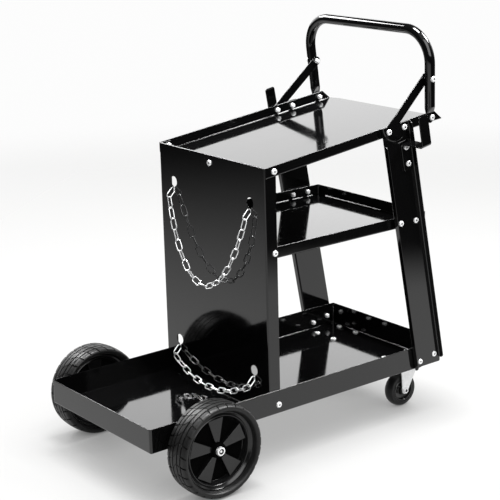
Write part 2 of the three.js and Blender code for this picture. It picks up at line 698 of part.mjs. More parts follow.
// A folded bracket under the tray, its two cheeks pierced by the axle
function makeAxleBracket(sign) {
  const top = TRAY_HEIGHT - FIT;
  const outer = HALF_WIDTH - BRACKET_OUTSET;
  const inner = outer - BRACKET_WIDTH;
  const half = BRACKET_LENGTH / 2;
  const eye = BRACKET_EYE / 2;
  const cheek = new THREE.Shape();
  cheek.moveTo(AXLE_X - half, top);
  cheek.lineTo(AXLE_X - eye, AXLE_Z);
  cheek.absarc(AXLE_X, AXLE_Z, eye, Math.PI, 2 * Math.PI, false);
  cheek.lineTo(AXLE_X + half, top);
  const cheeks = [inner, outer - BRACKET_SHEET].map((y) => (
    sideSlab(cheek, sign * y, sign * (y + BRACKET_SHEET))
  ));
  const low = Math.min(sign * inner, sign * outer);
  const plate = box(AXLE_X - half, AXLE_X + half, low, low + BRACKET_WIDTH, top - BRACKET_SHEET, top);
  const axle = { x: AXLE_X, z: AXLE_Z };
  const bore = crossRod(axle, AXLE_DIAMETER + 2 * FIT, -TRAY_WIDTH, TRAY_WIDTH, ROUND_SIDES);
  return cut(join(plate, ...cheeks), [bore]);
}

// One fixed wheel with its bush, spacer and nut, on its side of the axle
function addWheel(side) {
  const place = [AXLE_X, side.sign * WHEEL_Y, AXLE_Z];
  const hubHalf = HUB_WIDTH / 2;
  const bore = AXLE_DIAMETER / 2 + FIT;
  const bush = ring(bore, BUSH_DIAMETER / 2, -hubHalf, hubHalf, ROUND_SIDES);
  add(cart, `wheel_tyre_${side.name}`, 'rubber', makeTyre(), place);
  add(cart, `wheel_rim_${side.name}`, 'plastic', makeRim(), place);
  add(cart, `wheel_bush_${side.name}`, 'steel', bush, place);
  const nut = makeAxleNut();
  if (side.sign < 0) {
    nut.rotateZ(Math.PI);
  }
  const nutPlace = [AXLE_X, side.sign * (WHEEL_Y + hubHalf + FIT), AXLE_Z];
  add(cart, `axle_nut_${side.name}`, 'zinc', nut, nutPlace);
  const near = side.sign * (HALF_WIDTH - BRACKET_OUTSET + FIT);
  const far = side.sign * (WHEEL_Y - hubHalf - FIT);
  const spacer = ring(bore, SPACER_DIAMETER / 2, Math.min(near, far), Math.max(near, far), ROUND_SIDES);
  add(cart, `axle_spacer_${side.name}`, 'zinc', spacer, [AXLE_X, 0, AXLE_Z]);
  add(cart, `axle_bracket_${side.name}`, 'paint', makeAxleBracket(side.sign));
}

function makeAxle() {
  const end = WHEEL_Y + HUB_WIDTH / 2 + AXLE_NUT_HEIGHT / 2;
  return crossRod({ x: AXLE_X, z: AXLE_Z }, AXLE_DIAMETER, -end, end, ROUND_SIDES);
}

// Heights of a caster's stack, down from the tray
const casterPlateTop = TRAY_HEIGHT - FIT;
const casterRaceTop = casterPlateTop - CASTER_PLATE - FIT;
const casterForkTop = casterRaceTop - CASTER_RACE - FIT;
const casterRivetTop = casterForkTop - CASTER_FORK_SHEET - FIT;
const casterLegInner = CASTER_HUB_WIDTH / 2 + FIT;
const casterLegOuter = casterLegInner + CASTER_FORK_SHEET;

function makeCasterPlate() {
  const x = CASTER_PLATE_LENGTH / 2;
  const y = CASTER_PLATE_WIDTH / 2;
  const r = CASTER_PLATE_CORNER;
  const shape = new THREE.Shape();
  shape.absarc(x - r, y - r, r, 0, Math.PI / 2, false);
  shape.absarc(-x + r, y - r, r, Math.PI / 2, Math.PI, false);
  shape.absarc(-x + r, -y + r, r, Math.PI, 1.5 * Math.PI, false);
  shape.absarc(x - r, -y + r, r, 1.5 * Math.PI, 2 * Math.PI, false);
  return planSlab(shape, casterPlateTop - CASTER_PLATE, casterPlateTop);
}

// The king pin under the plate: a ball race above the fork, a pin through it and a riveted end below
function makeKingPin() {
  const race = CASTER_RACE_DIAMETER / 2;
  const pin = CASTER_PIN_DIAMETER / 2;
  const rivet = CASTER_RIVET_DIAMETER / 2;
  const pinProfile = [
    [0, casterRivetTop - CASTER_RIVET], [rivet, casterRivetTop - CASTER_RIVET], [rivet, casterRivetTop],
    [pin, casterRivetTop], [pin, casterRaceTop - CASTER_RACE], [race, casterRaceTop - CASTER_RACE],
    [race, casterRaceTop], [0, casterRaceTop],
  ];
  const geometry = turned(pinProfile, ROUND_SIDES);
  geometry.rotateX(Math.PI / 2);
  return geometry;
}

// The fork: a top plate that turns on the king pin, with two tapered legs that trail towards the bottle bay
function makeCasterFork() {
  const half = CASTER_FORK_TOP / 2;
  const eye = CASTER_FORK_EYE / 2;
  const bottom = casterForkTop - CASTER_FORK_SHEET;
  const leg = new THREE.Shape();
  leg.moveTo(-half, casterForkTop);
  leg.lineTo(-half, bottom - CASTER_FORK_SHEET);
  leg.lineTo(-CASTER_TRAIL - eye, CASTER_AXLE_Z);
  leg.absarc(-CASTER_TRAIL, CASTER_AXLE_Z, eye, Math.PI, 2 * Math.PI - CASTER_FORK_SLANT * DEG, false);
  leg.lineTo(half, bottom - CASTER_FORK_SHEET);
  leg.lineTo(half, casterForkTop);
  const legs = SIDES.map(({ sign }) => sideSlab(leg, sign * casterLegInner, sign * casterLegOuter));
  const top = box(-half, half, -casterLegOuter, casterLegOuter, bottom, casterForkTop);
  const pinRadius = CASTER_PIN_DIAMETER / 2 + FIT;
  const pinBore = new THREE.CylinderGeometry(pinRadius, pinRadius, CASTER_FORK_TOP, ROUND_SIDES);
  pinBore.rotateX(Math.PI / 2);
  pinBore.translate(0, 0, bottom);
  const axle = { x: -CASTER_TRAIL, z: CASTER_AXLE_Z };
  const axleDiameter = CASTER_AXLE_DIAMETER + 2 * FIT;
  const axleBore = crossRod(axle, axleDiameter, -CASTER_PLATE_WIDTH, CASTER_PLATE_WIDTH, BOLT_SIDES);
  return cut(join(top, ...legs), [solid(pinBore), axleBore]);
}

function makeCasterAxle() {
  const pin = CASTER_AXLE_DIAMETER / 2;
  const head = CASTER_AXLE_HEAD / 2;
  const seat = casterLegOuter + FIT;
  const end = seat + CASTER_AXLE_HEAD_HEIGHT;
  return turned([
    [0, -end], [head, -end], [head, -seat], [pin, -seat], [pin, seat], [head, seat], [head, end], [0, end],
  ], BOLT_SIDES);
}

// The caster wheel's round tread, on a core with a longer hub
function makeCasterTyre() {
  const seat = CASTER_CORE_DIAMETER / 2 + FIT;
  const tread = CASTER_DIAMETER / 2;
  const half = CASTER_WIDTH / 2;
  const shoulder = [[tread - 2 * CASTER_CROWN, half * DOME_SHOULDER], [tread - CASTER_CROWN, half / 2]];
  return turned([
    [seat, -half], ...shoulder.map(([r, y]) => [r, -y]), [tread, 0],
    ...[...shoulder].reverse(), [seat, half], [seat, -half],
  ], CASTER_SIDES);
}

function makeCasterCore() {
  const bore = CASTER_AXLE_DIAMETER / 2 + FIT;
  const hub = CASTER_HUB_DIAMETER / 2;
  const rim = CASTER_CORE_DIAMETER / 2;
  const half = CASTER_WIDTH / 2;
  const hubHalf = CASTER_HUB_WIDTH / 2;
  return turned([
    [bore, -hubHalf], [hub, -hubHalf], [hub, -half], [rim, -half],
    [rim, half], [hub, half], [hub, hubHalf], [bore, hubHalf], [bore, -hubHalf],
  ], CASTER_SIDES);
}

function addCaster(side) {
  const swivel = new THREE.Group();
  swivel.position.set(CASTER_X, side.sign * CASTER_Y, 0);
  cart.add(swivel);
  const axle = [-CASTER_TRAIL, 0, CASTER_AXLE_Z];
  add(swivel, `caster_plate_${side.name}`, 'zinc', makeCasterPlate());
  add(swivel, `caster_king_pin_${side.name}`, 'zinc', makeKingPin());
  add(swivel, `caster_fork_${side.name}`, 'zinc', makeCasterFork());
  add(swivel, `caster_axle_${side.name}`, 'zinc', makeCasterAxle(), axle);
  add(swivel, `caster_tyre_${side.name}`, 'rubber', makeCasterTyre(), axle);
  add(swivel, `caster_core_${side.name}`, 'plastic', makeCasterCore(), axle);
}

// One chain link lying along X in the XY plane: a torus whose two halves are pulled apart
function makeLink(straight) {
  const link = new THREE.TorusGeometry(LINK_BOW, CHAIN_WIRE / 2, LINK_WIRE_SIDES, LINK_LOOP_SIDES);
  link.rotateZ(Math.PI / LINK_LOOP_SIDES);
  const points = link.attributes.position;
  for (let i = 0; i < points.count; i += 1) {
    points.setX(i, points.getX(i) + Math.sign(points.getX(i)) * straight / 2);
  }
  return link;
}

// The curve of a hanging chain: a catenary whose end links hook on the anchors' lower bows.
// Returns its shape value, half its length and the depth of its ends below the hinge line.
function hang(sag) {
  const hooked = CHAIN_WIRE + FIT;
  let reach = KEYHOLE_SPAN / 2;
  let shape = reach;
  let slope = 0;
  for (let pass = 0; pass < HANG_PASSES; pass += 1) {
    shape = reach / Math.acosh(1 + sag / shape);
    slope = Math.sinh(reach / shape);
    reach = KEYHOLE_SPAN / 2 + hooked / Math.hypot(1, slope);
  }
  return { shape, half: shape * slope, depth: LINK_RADIUS - hooked * slope / Math.hypot(1, slope) };
}

// A chain in the frame of its hinge line: an odd number of links along the curve, each turned a quarter
// from the last, so that both end links hook on their anchors
function makeChain(sag) {
  const { shape, half, depth } = hang(sag);
  const crown = shape + sag + depth;
  const run = 2 * half + CHAIN_FUSE - CHAIN_WIRE;
  const links = 2 * Math.round((run / CHAIN_PITCH - 1) / 2) + 1;
  const pitch = run / links;
  const straight = pitch - CHAIN_FUSE + CHAIN_WIRE - 2 * LINK_RADIUS;
  const bodies = [];
  for (let k = 0; k < links; k += 1) {
    const s = (k - (links - 1) / 2) * pitch;
    const y = shape * Math.asinh(s / shape);
    const z = shape * Math.cosh(y / shape) - crown;
    const along = new THREE.Vector3(0, shape, s).normalize();
    const across = new THREE.Vector3().crossVectors(X, along);
    const width = k % 2 === 0 ? across : X;
    const depthAxis = new THREE.Vector3().crossVectors(along, width);
    const link = makeLink(straight);
    link.applyMatrix4(new THREE.Matrix4().makeBasis(along, width, depthAxis).setPosition(0, y, z));
    bodies.push(solid(link));
  }
  return join(...bodies);
}

function addChain(name, sag, keyholeHeight, tilt) {
  const hingeZ = TRAY_HEIGHT + keyholeHeight - ANCHOR_DROP - ANCHOR_RISE;
  const anchorZ = hingeZ + ANCHOR_RISE / 2;
  for (const side of SIDES) {
    const anchor = makeLink(ANCHOR_STRAIGHT);
    anchor.rotateX(Math.PI / 2);
    anchor.rotateY(-ANCHOR_TILT * DEG);
    const place = [CHAIN_X + ANCHOR_RUN / 2, side.sign * KEYHOLE_SPAN / 2, anchorZ];
    add(cart, `${name}_anchor_${side.name}`, 'zinc', anchor, place);
  }
  add(cart, name, 'zinc', makeChain(sag), [CHAIN_X, 0, hingeZ], tilt * DEG);
}

add(cart, 'base_tray', 'paint', makeBaseTray());
add(cart, 'bottle_panel', 'paint', makeBottlePanel());
add(cart, 'middle_shelf', 'paint', makeMiddleShelf());
add(cart, 'top_tray', 'paint', makeTopTray());
add(cart, 'handle_tube', 'paint', makeHandle(), handleFrame.place, handleFrame.turn);
add(cart, 'axle', 'zinc', makeAxle());

const webFace = UPRIGHT_FACE + SHEET;
for (const side of SIDES) {
  add(cart, `upright_${side.name}`, 'paint', makeUpright(side.sign), uprightFrame.place, uprightFrame.turn);
  add(cart, `brace_${side.name}`, 'paint', makeBrace(side.sign));
  add(cart, `cable_hook_${side.name}`, 'paint', makeHook(side.sign), uprightFrame.place, uprightFrame.turn);
  addWheel(side);
  addCaster(side);
  addBolt('panel_top_bolt', side, panelBolts.top, HALF_WIDTH, PANEL_HALF - SHEET);
  addBolt('panel_shelf_bolt', side, panelBolts.shelf, PANEL_HALF, SHELF_HALF - SHEET);
  addBolt('panel_base_bolt', side, panelBolts.base, HALF_WIDTH, PANEL_HALF - SHEET);
  topBolts.forEach((at, k) => {
    addBolt(`upright_top_bolt_${k + 1}`, side, at, webFace + PRESSING_DEPTH, HALF_WIDTH - SHEET);
  });
  shelfBolts.forEach((at, k) => {
    addBolt(`upright_shelf_bolt_${k + 1}`, side, at, webFace, SHELF_HALF - SHEET);
  });
  footBolts.forEach((at, k) => {
    addBolt(`upright_foot_bolt_${k + 1}`, side, at, webFace, HALF_WIDTH - SHEET);
  });
}

addChain('upper_chain', UPPER_CHAIN_SAG, UPPER_KEYHOLE_HEIGHT, UPPER_CHAIN_TILT);
addChain('lower_chain', LOWER_CHAIN_SAG, LOWER_KEYHOLE_HEIGHT, LOWER_CHAIN_TILT);

export default cart;
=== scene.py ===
"""The looks of a black sheet-metal welding cart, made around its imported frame.

Every piece is a mesh in metres, in the frame's own axes: +Z up, +X from the bottle bay to the push handle.
"""

import json
import math

import bmesh
import bpy
from mathutils import Matrix, Vector
from mathutils.geometry import tessellate_polygon


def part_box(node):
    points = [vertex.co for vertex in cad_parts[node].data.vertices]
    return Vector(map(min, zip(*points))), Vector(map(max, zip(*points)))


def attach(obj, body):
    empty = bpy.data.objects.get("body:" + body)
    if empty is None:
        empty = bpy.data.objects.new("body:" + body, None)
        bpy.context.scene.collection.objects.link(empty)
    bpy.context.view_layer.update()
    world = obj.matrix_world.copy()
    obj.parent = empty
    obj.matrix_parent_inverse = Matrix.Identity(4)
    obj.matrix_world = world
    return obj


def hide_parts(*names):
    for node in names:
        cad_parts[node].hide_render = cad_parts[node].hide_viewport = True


bl_info = {
    "name": "Welding cart",
    "version": (1, 0, 0),
    "blender": (4, 5, 0),
    "location": "3D View > Sidebar > Cart",
    "description": "Builds the sheets, wheels, chains and bolts of a welding cart around its frame",
    "category": "Add Mesh",
}

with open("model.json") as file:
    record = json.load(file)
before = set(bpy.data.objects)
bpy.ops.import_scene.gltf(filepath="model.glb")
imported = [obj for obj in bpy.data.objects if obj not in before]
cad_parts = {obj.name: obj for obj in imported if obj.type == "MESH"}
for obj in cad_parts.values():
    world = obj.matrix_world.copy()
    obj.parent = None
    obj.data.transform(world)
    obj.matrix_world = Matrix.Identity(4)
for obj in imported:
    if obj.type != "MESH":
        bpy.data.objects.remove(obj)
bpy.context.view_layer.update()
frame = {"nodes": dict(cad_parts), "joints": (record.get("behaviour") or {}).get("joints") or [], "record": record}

MM = 0.001
WELD = 1e-7
X_AXIS = Vector((1, 0, 0))
Y_AXIS = Vector((0, 1, 0))
Z_AXIS = Vector((0, 0, 1))
SIDES = (("left", -1), ("right", 1))
ARC_STEPS = 5
EDGE_STEPS = 3
FOLD_START = 3 * (ARC_STEPS + 1)
TURN_STEPS = 48
BOLT_STEPS = 24
HOLE_STEPS = 24
WIRE_STEPS = 10
FLOOR_STEPS = 64
HANG_ROUNDS = 200
SHARP = math.radians(32)
RIM_SHARE = 0.45
AXLE_BORE = 5.3 * MM
CASTER_BORE = 4.3 * MM
# A bolt's zinc plate, and the painted shade in its socket and hollows.
BOLT_AND_SHADE_FINISHES = ("zinc", "socket")
NOISE_SPAN = (0.3, 0.7)
WHITE = 0.978
SENSOR_MM = 36


def length(name, description, default):
    """A size in metres that a user can change."""
    return bpy.props.FloatProperty(
        name=name, description=description, default=default, unit="LENGTH", subtype="DISTANCE", precision=4
    )


def angle(name, description, degrees):
    """An angle that a user can change."""
    return bpy.props.FloatProperty(
        name=name, description=description, default=math.radians(degrees), unit="ROTATION", subtype="ANGLE"
    )


def count(name, description, default):
    """A whole number that a user can change."""
    return bpy.props.IntProperty(name=name, description=description, default=default, min=1)


def share(name, description, default):
    """A number from 0 to 1 that a user can change."""
    return bpy.props.FloatProperty(
        name=name, description=description, default=default, min=0, max=1, subtype="FACTOR"
    )


def amount(name, description, default):
    """A plain number that a user can change."""
    return bpy.props.FloatProperty(name=name, description=description, default=default)


def colour(name, description, default):
    """A linear colour that a user can change."""
    return bpy.props.FloatVectorProperty(
        name=name, description=description, default=default, size=3, min=0, max=1, subtype="COLOR"
    )


class CartSheets(bpy.types.PropertyGroup):
    """Sizes of the folded sheets."""

    sheet: length("Sheet", "Thickness of the sheet metal", 1.5 * MM)
    fold: length("Fold", "Outside radius of a fold", 3.2 * MM)
    corner: length("Corner", "Outside radius of a tray's upright corners", 4.4 * MM)
    edge: length("Edge", "Radius of a cut edge", 0.6 * MM)
    keyhole: length("Keyhole", "Diameter of a keyhole's round part", 20 * MM)
    slot: length("Slot", "Width of a keyhole's slot", 5 * MM)
    slot_length: length("Slot length", "Reach of a slot below its keyhole's centre", 23.1 * MM)
    lip: length("Top lip", "Height of the top tray's lips", 20.5 * MM)
    lip_taper: length("Lip taper", "Length over which a top lip runs out", 20 * MM)
    overhang: length("Overhang", "Reach of the top tray's floor past its lips", 6 * MM)
    floor_corner: length("Floor corner", "Width cut off each free corner of the top tray's floor", 26 * MM)


class CartFrame(bpy.types.PropertyGroup):
    """Sizes of the uprights, the handle, the braces and the hooks."""

    web: length("Web", "Width of an upright", 72 * MM)
    bolt_edge: length("Bolt edge", "From an upright's foot to its bolts", 13 * MM)
    top_edge: length("Top edge", "From an upright's top bolts to its end", 10.2 * MM)
    top_fall: angle("Top fall", "Slant of an upright's end to its own middle line", 3.7)
    flange_corner: length("Flange corner", "Radius of a flange's free corners", 8 * MM)
    flange_top: length("Flange top", "Radius of the back flange's upper corner", 10.5 * MM)
    front_drop: length("Front drop", "From an upright's end to the end of its front flange", 34 * MM)
    pressing: length("Pressing", "Radius of the half-round pressing at an upright's top", 34 * MM)
    pressing_depth: length("Pressing depth", "Height of the pressing", 2.3 * MM)
    tube: length("Tube", "Diameter of the handle's tube", 20 * MM)
    splay: angle("Splay", "Lean of the handle's legs outwards", 3.6)
    bend: length("Bend", "Radius of the handle's bends, at the tube's middle", 60 * MM)
    tab: length("Tab", "Thickness of the handle's flattened ends", 4.1 * MM)
    tab_width: length("Tab width", "Width of the handle's flattened ends", 20 * MM)
    tab_start: length("Tab start", "From the handle's bolt to where its end starts to swell", 10.5 * MM)
    tab_rise: length("Tab rise", "Length over which a flattened end becomes round", 13 * MM)
    bolt_offset: length("Bolt offset", "From a leg's middle line to its bolt", 4 * MM)
    brace_width: length("Brace", "Width of a brace", 19 * MM)
    brace_strip: length("Brace strip", "Thickness of a brace", 2 * MM)
    brace_flat: length("Brace flat", "From a brace's foot bolt to where it slants inwards", 34 * MM)
    hook_width: length("Hook", "Width of a hook's strip", 24 * MM)
    hook_strip: length("Hook strip", "Thickness of a hook's strip", 3 * MM)
    hook_bend: length("Hook bend", "Inside radius of a hook's bends", 4 * MM)
    hook_plate: length("Hook plate", "Length of a hook's plate below its arm", 58 * MM)
    hook_tip: length("Hook tip", "Height of a hook's tip above its arm", 60 * MM)
    hook_drop: length("Hook drop", "From an upright's top to a hook's arm", 40.2 * MM)
    hook_offset: length("Hook offset", "From an upright's middle to a hook's middle", 17.5 * MM)
    hook_corner: length("Hook corner", "Radius of the corners at a hook's ends", 5 * MM)


class CartBolts(bpy.types.PropertyGroup):
    """Sizes of the bolts."""

    head: length("Head", "Diameter of a domed head", 11.6 * MM)
    head_height: length("Head height", "Height of a domed head", 3 * MM)
    socket: length("Socket", "Size of a head's hexagon socket", 4 * MM)
    shank: length("Shank", "Diameter of a bolt", 6 * MM)
    nut: length("Nut", "Size of a nut over its corners", 11 * MM)
    nut_height: length("Nut height", "Height of a nut", 4.5 * MM)


class CartWheels(bpy.types.PropertyGroup):
    """Sizes of the fixed wheels and the casters."""

    blocks: count("Tread blocks", "Blocks round each shoulder of a tyre", 28)
    groove: length("Groove", "Depth of the tread's grooves", 3 * MM)
    spokes: count("Spokes", "Spokes of a rim", 5)
    spoke_turn: angle("Spoke turn", "Turn of the first spoke from straight up", 3)
    lip_radius: length("Rim lip", "Radius of the rim's bright lip", 74.2 * MM)
    lip_reach: length("Lip reach", "From a wheel's middle plane to its rim's lip", 16.9 * MM)
    pocket_radius: length("Pockets", "Outer radius of the pockets between spokes", 60 * MM)
    spoke_outer: length("Spoke end", "Width of a spoke at the rim", 34 * MM)
    spoke_inner: length("Spoke root", "Width of a spoke at the hub", 9 * MM)
    hub: length("Hub", "Diameter of a hub's face", 28 * MM)
    collar: length("Collar", "Height of a hub's collar round its axle nut", 5.5 * MM)
    axle_nut: length("Axle nut", "Size of an axle nut over its corners", 18 * MM)
    fork_sheet: length("Fork sheet", "Thickness of a caster's fork", 2.5 * MM)
    fork_eye: length("Fork eye", "Width of a fork's leg at the axle", 15 * MM)


class CartChains(bpy.types.PropertyGroup):
    """Sizes of the bottle chains."""

    wire: length("Wire", "Diameter of a link's wire", 2.2 * MM)
    inner_width: length("Inner width", "Width inside a link", 8.4 * MM)
    inner_length: length("Inner length", "Length inside a link", 20.75 * MM)
    pitch: length("Pitch", "From one link to the next", 20.7 * MM)
    twist: angle("Twist", "Turn of the links about the chain, away from its ends", 28)
    clearance: length("Clearance", "Gap between an end link and its anchor", 0.3 * MM)
    upper_sag: length("Upper sag", "Depth of the upper chain's curve", 151 * MM)
    lower_sag: length("Lower sag", "Depth of the lower chain's curve", 34 * MM)
    upper_tilt: angle("Upper tilt", "Lean of the upper chain off the panel", 4.9)
    lower_tilt: angle("Lower tilt", "Lean of the lower chain off the panel", 10.9)
    anchor_tilt: angle("Anchor tilt", "Slope of an anchor link in its slot", 45)
    anchor_length: length("Anchor length", "Length inside an anchor link", 20 * MM)
    keyhole_rise: length("Keyhole rise", "From a chain's hinge line to its keyholes' middles", 25.63 * MM)


class CartFinishes(bpy.types.PropertyGroup):
    """Colours and gloss of the finishes."""

    paint: colour("Paint", "Black powder coat", (0.0014, 0.0014, 0.0015))
    paint_rough: share("Paint roughness", "Roughness of the powder coat", 0.07)
    zinc: colour("Zinc", "Bright zinc plate", (0.92, 0.925, 0.93))
    steel: colour("Steel", "Plain turned steel", (0.52, 0.53, 0.54))
    rubber: colour("Rubber", "Tyres of the fixed wheels", (0.006, 0.006, 0.006))
    plastic: colour("Plastic", "Rims of the fixed wheels", (0.005, 0.005, 0.0052))
    caster_rubber: colour("Caster rubber", "Tyres of the casters", (0.006, 0.006, 0.0062))
    floor: colour("Floor", "Studio floor", (0.075, 0.075, 0.0745))


class CartStage(bpy.types.PropertyGroup):
    """The camera and the light."""

    azimuth: angle("Azimuth", "The camera's turn from straight in front of the cart's left side", -37.67)
    elevation: angle("Elevation", "The camera's height above level", 16.08)
    roll: angle("Roll", "The camera's lean", -1.49)
    distance: length("Distance", "From the camera to the middle of the view", 2.851)
    target: bpy.props.FloatVectorProperty(
        name="Target", description="Middle of the view", default=(0, 0, 0.3551), subtype="TRANSLATION"
    )
    lens: amount("Lens", "Focal length in millimetres for a 36 mm frame", 105.4)
    shift_x: amount("Shift across", "The frame's shift across", 0.0008)
    shift_y: amount("Shift up", "The frame's shift upwards", 0.0148)
    backdrop: amount("Backdrop", "Brightness of the wall behind the cart", 2.45)
    dim: amount("Dim side", "Brightness of the studio's unlit sides", 0.03)
    sky: amount("Sky", "Brightness of the studio above the walls", 0.5)
    box_size: length("Soft boxes", "Width of each soft box", 0.8)
    box_reach: length("Soft box reach", "From the middle of the view to each soft box", 2.5)
    overhead: amount("Overhead light", "Power of the soft box above the cart in watts", 150)
    right: amount("Right light", "Power of the right-hand soft box in watts", 110)
    left: amount("Left light", "Power of the left-hand soft box in watts", 60)
    front: amount("Front light", "Power of the large soft box beside the camera in watts", 42)
    front_size: length("Front box", "Width of the soft box beside the camera", 2)
    right_turn: angle("Right turn", "Turn of the right-hand light from the camera", 102)
    right_rise: angle("Right rise", "Height of the right-hand light above level", 49.5)
    left_turn: angle("Left turn", "Turn of the left-hand light from the camera", -133)
    left_rise: angle("Left rise", "Height of the left-hand light above level", 40)
    front_turn: angle("Front turn", "Turn of the front light from the camera", 24)
    front_rise: angle("Front rise", "Height of the front light above level", 36)
    floor_glow: amount("Floor glow", "Light that the floor gives off", 0.68)
    shade_glow: amount("Shade glow", "Light that the floor gives off where the cart covers it", 0.09)
    shade_reach: length("Shade reach", "How far the cart shades the floor's light", 0.135)
    floor_whole: length("Floor whole", "Radius within which the floor's sides are whole", 2.0)
    floor_reach: length("Floor reach", "Radius of the floor", 3.4)
    front_start: length("Front start", "Where the floor starts to fade before the panel", 0.27)
    front_end: length("Front end", "Where the floor has faded before the panel", 3.0)
    near_start: length("Near start", "Where the floor starts to fade on the near side", 1.1)
    near_end: length("Near end", "Where the floor has faded on the near side", 1.62)


class CartSettings(bpy.types.PropertyGroup):
    """All sizes and colours of the cart."""

    sheets: bpy.props.PointerProperty(type=CartSheets)
    frame: bpy.props.PointerProperty(type=CartFrame)
    bolts: bpy.props.PointerProperty(type=CartBolts)
    wheels: bpy.props.PointerProperty(type=CartWheels)
    chains: bpy.props.PointerProperty(type=CartChains)
    finishes: bpy.props.PointerProperty(type=CartFinishes)
    stage: bpy.props.PointerProperty(type=CartStage)


# Meshes


class Shape:
    """Points and faces of one piece, gathered before they become a mesh."""

    def __init__(self):
        self.points = []
        self.faces = []
        self.finishes = []

    def add(self, made, place=None, finish=0):
        """Adds points and faces, moved by a matrix, in one of the piece's finishes."""
        points, faces = made
        start = len(self.points)
        self.points += [place @ Vector(p) if place else Vector(p) for p in points]
        self.faces += [tuple(start + i for i in face) for face in faces]
        self.finishes += [finish] * len(faces)
        return self

    def moved(self, place):
        """Moves the whole shape by a matrix."""
        self.points = [place @ p for p in self.points]
        return self


def piece(name, shape, finishes, body, slot, *nodes):
    """Makes a shape into a mesh in its finishes that rides on a body, and stands for the named nodes."""
    mesh = bpy.data.meshes.new(name)
    mesh.from_pydata(shape.points, [], shape.faces)
    mesh.polygons.foreach_set("material_index", shape.finishes)
    for each in finishes:
        mesh.materials.append(finish(each))
    cleaned = bmesh.new()
    cleaned.from_mesh(mesh)
    bmesh.ops.remove_doubles(cleaned, verts=cleaned.verts, dist=WELD)
    bmesh.ops.recalc_face_normals(cleaned, faces=cleaned.faces)
    cleaned.to_mesh(mesh)
    cleaned.free()
    mesh.shade_smooth()
    mesh.set_sharp_from_angle(angle=SHARP)
    made = bpy.data.objects.new(name, mesh)
    bpy.context.scene.collection.objects.link(made)
    flat_faces = made.modifiers.new("Flat faces", "WEIGHTED_NORMAL")
    flat_faces.keep_sharp = True
    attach(made, body)
    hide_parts(*nodes)
    return made


def skin(rings, wrap=True, loop=False, caps=None):
    """Faces between rings of equal size. wrap closes each ring, loop joins the last ring to the first.

    caps closes both ends: 0 with one face each, or else it is where the inside of a folded section starts.
    """
    size = len(rings[0])
    points = [p for ring in rings for p in ring]
    faces = []
    for k in range(len(rings) if loop else len(rings) - 1):
        a = k * size
        b = (k + 1) % len(rings) * size
        for i in range(size if wrap else size - 1):
            j = (i + 1) % size
            faces.append((a + i, a + j, b + j, b + i))
    if caps is not None:
        for first in (0, len(points) - size):
            order = [first + (caps + i) % size for i in range(size)]
            faces += [tuple(order)] if caps == 0 else ladder(order[:size // 2], order[:size // 2 - 1:-1])
    return points, faces


def ladder(one, other):
    """Quads between two chains of equally many points."""
    return [(one[i], one[i + 1], other[i + 1], other[i]) for i in range(len(one) - 1)]


def arc(centre, radius, start, end, steps=ARC_STEPS):
    """Points of an arc in a plane, between two angles in degrees."""
    angles = [math.radians(start + (end - start) * i / steps) for i in range(steps + 1)]
    return [Vector((centre[0] + radius * math.cos(a), centre[1] + radius * math.sin(a))) for a in angles]


def rounded(corners, steps=ARC_STEPS):
    """A closed outline from corners (x, y, radius)."""
    outline = []
    for k, (x, y, radius) in enumerate(corners):
        here = Vector((x, y))
        if radius <= 0:
            outline.append(here)
            continue
        before = (Vector(corners[k - 1][:2]) - here).normalized()
        after = (Vector(corners[(k + 1) % len(corners)][:2]) - here).normalized()
        half = before.angle(after) / 2
        centre = here + (before + after).normalized() * (radius / math.sin(half))
        start = here + before * (radius / math.tan(half)) - centre
        turn = (math.pi - 2 * half) * (1 if before.cross(after) < 0 else -1)
        for i in range(steps + 1):
            outline.append(centre + Matrix.Rotation(turn * i / steps, 2) @ start)
    return outline


def rectangle(left, low, right, high, radius, steps=ARC_STEPS):
    """A rectangle's outline with rounded corners."""
    corners = ((left, low), (right, low), (right, high), (left, high))
    return rounded([(x, y, radius) for x, y in corners], steps)


def round_hole(centre, radius):
    """A round hole's outline, clockwise."""
    return arc(centre, radius, 360, 0, HOLE_STEPS)[:-1]


def quarter(steps):
    """Angles from 0 to a quarter turn."""
    return [math.pi / 2 * k / steps for k in range(steps + 1)]


def mirrored(half):
    """A profile of (radius, height) points carried on below its middle plane."""
    return half + [(p[0], -p[1], *p[2:]) for p in reversed(half)]


def inset(outline, distance):
    """A closed outline moved to its left by a distance."""
    moved = []
    for k, here in enumerate(outline):
        first = (here - outline[k - 1]).normalized()
        second = (outline[(k + 1) % len(outline)] - here).normalized()
        normal = Vector((-first.y - second.y, first.x + second.x))
        moved.append(here + normal * (distance / (1 + first.dot(second))))
    return moved


def edge_profile(low, high, edge):
    """How far a plate's rounded wall is set in, at heights from its low face to its high one."""
    bottom = [(edge * (1 - math.sin(a)), low + edge * (1 - math.cos(a))) for a in quarter(EDGE_STEPS)]
    top = [(d, low + high - z) for d, z in reversed(bottom)]
    return bottom + top


def prism(outline, low, high, edge, holes=()):
    """A plate with rounded edges between two heights. Its outline runs anticlockwise, holes clockwise."""
    whole = Shape()
    profile = edge_profile(low, high, edge)
    for loop in (outline, *holes):
        rings = [[(p.x, p.y, z) for p in inset(loop, d)] for d, z in profile]
        whole.add(skin(rings))
    for d, z in (profile[0], profile[-1]):
        loops = [[Vector((p.x, p.y, z)) for p in inset(loop, d)] for loop in (outline, *holes)]
        whole.add(([p for loop in loops for p in loop], flat(loops)))
    return whole.points, whole.faces


def flat(loops):
    """Faces of a flat region: one face for a plain outline, triangles round holes."""
    if len(loops) == 1:
        return [tuple(range(len(loops[0])))]
    return [tuple(face) for face in tessellate_polygon(loops)]


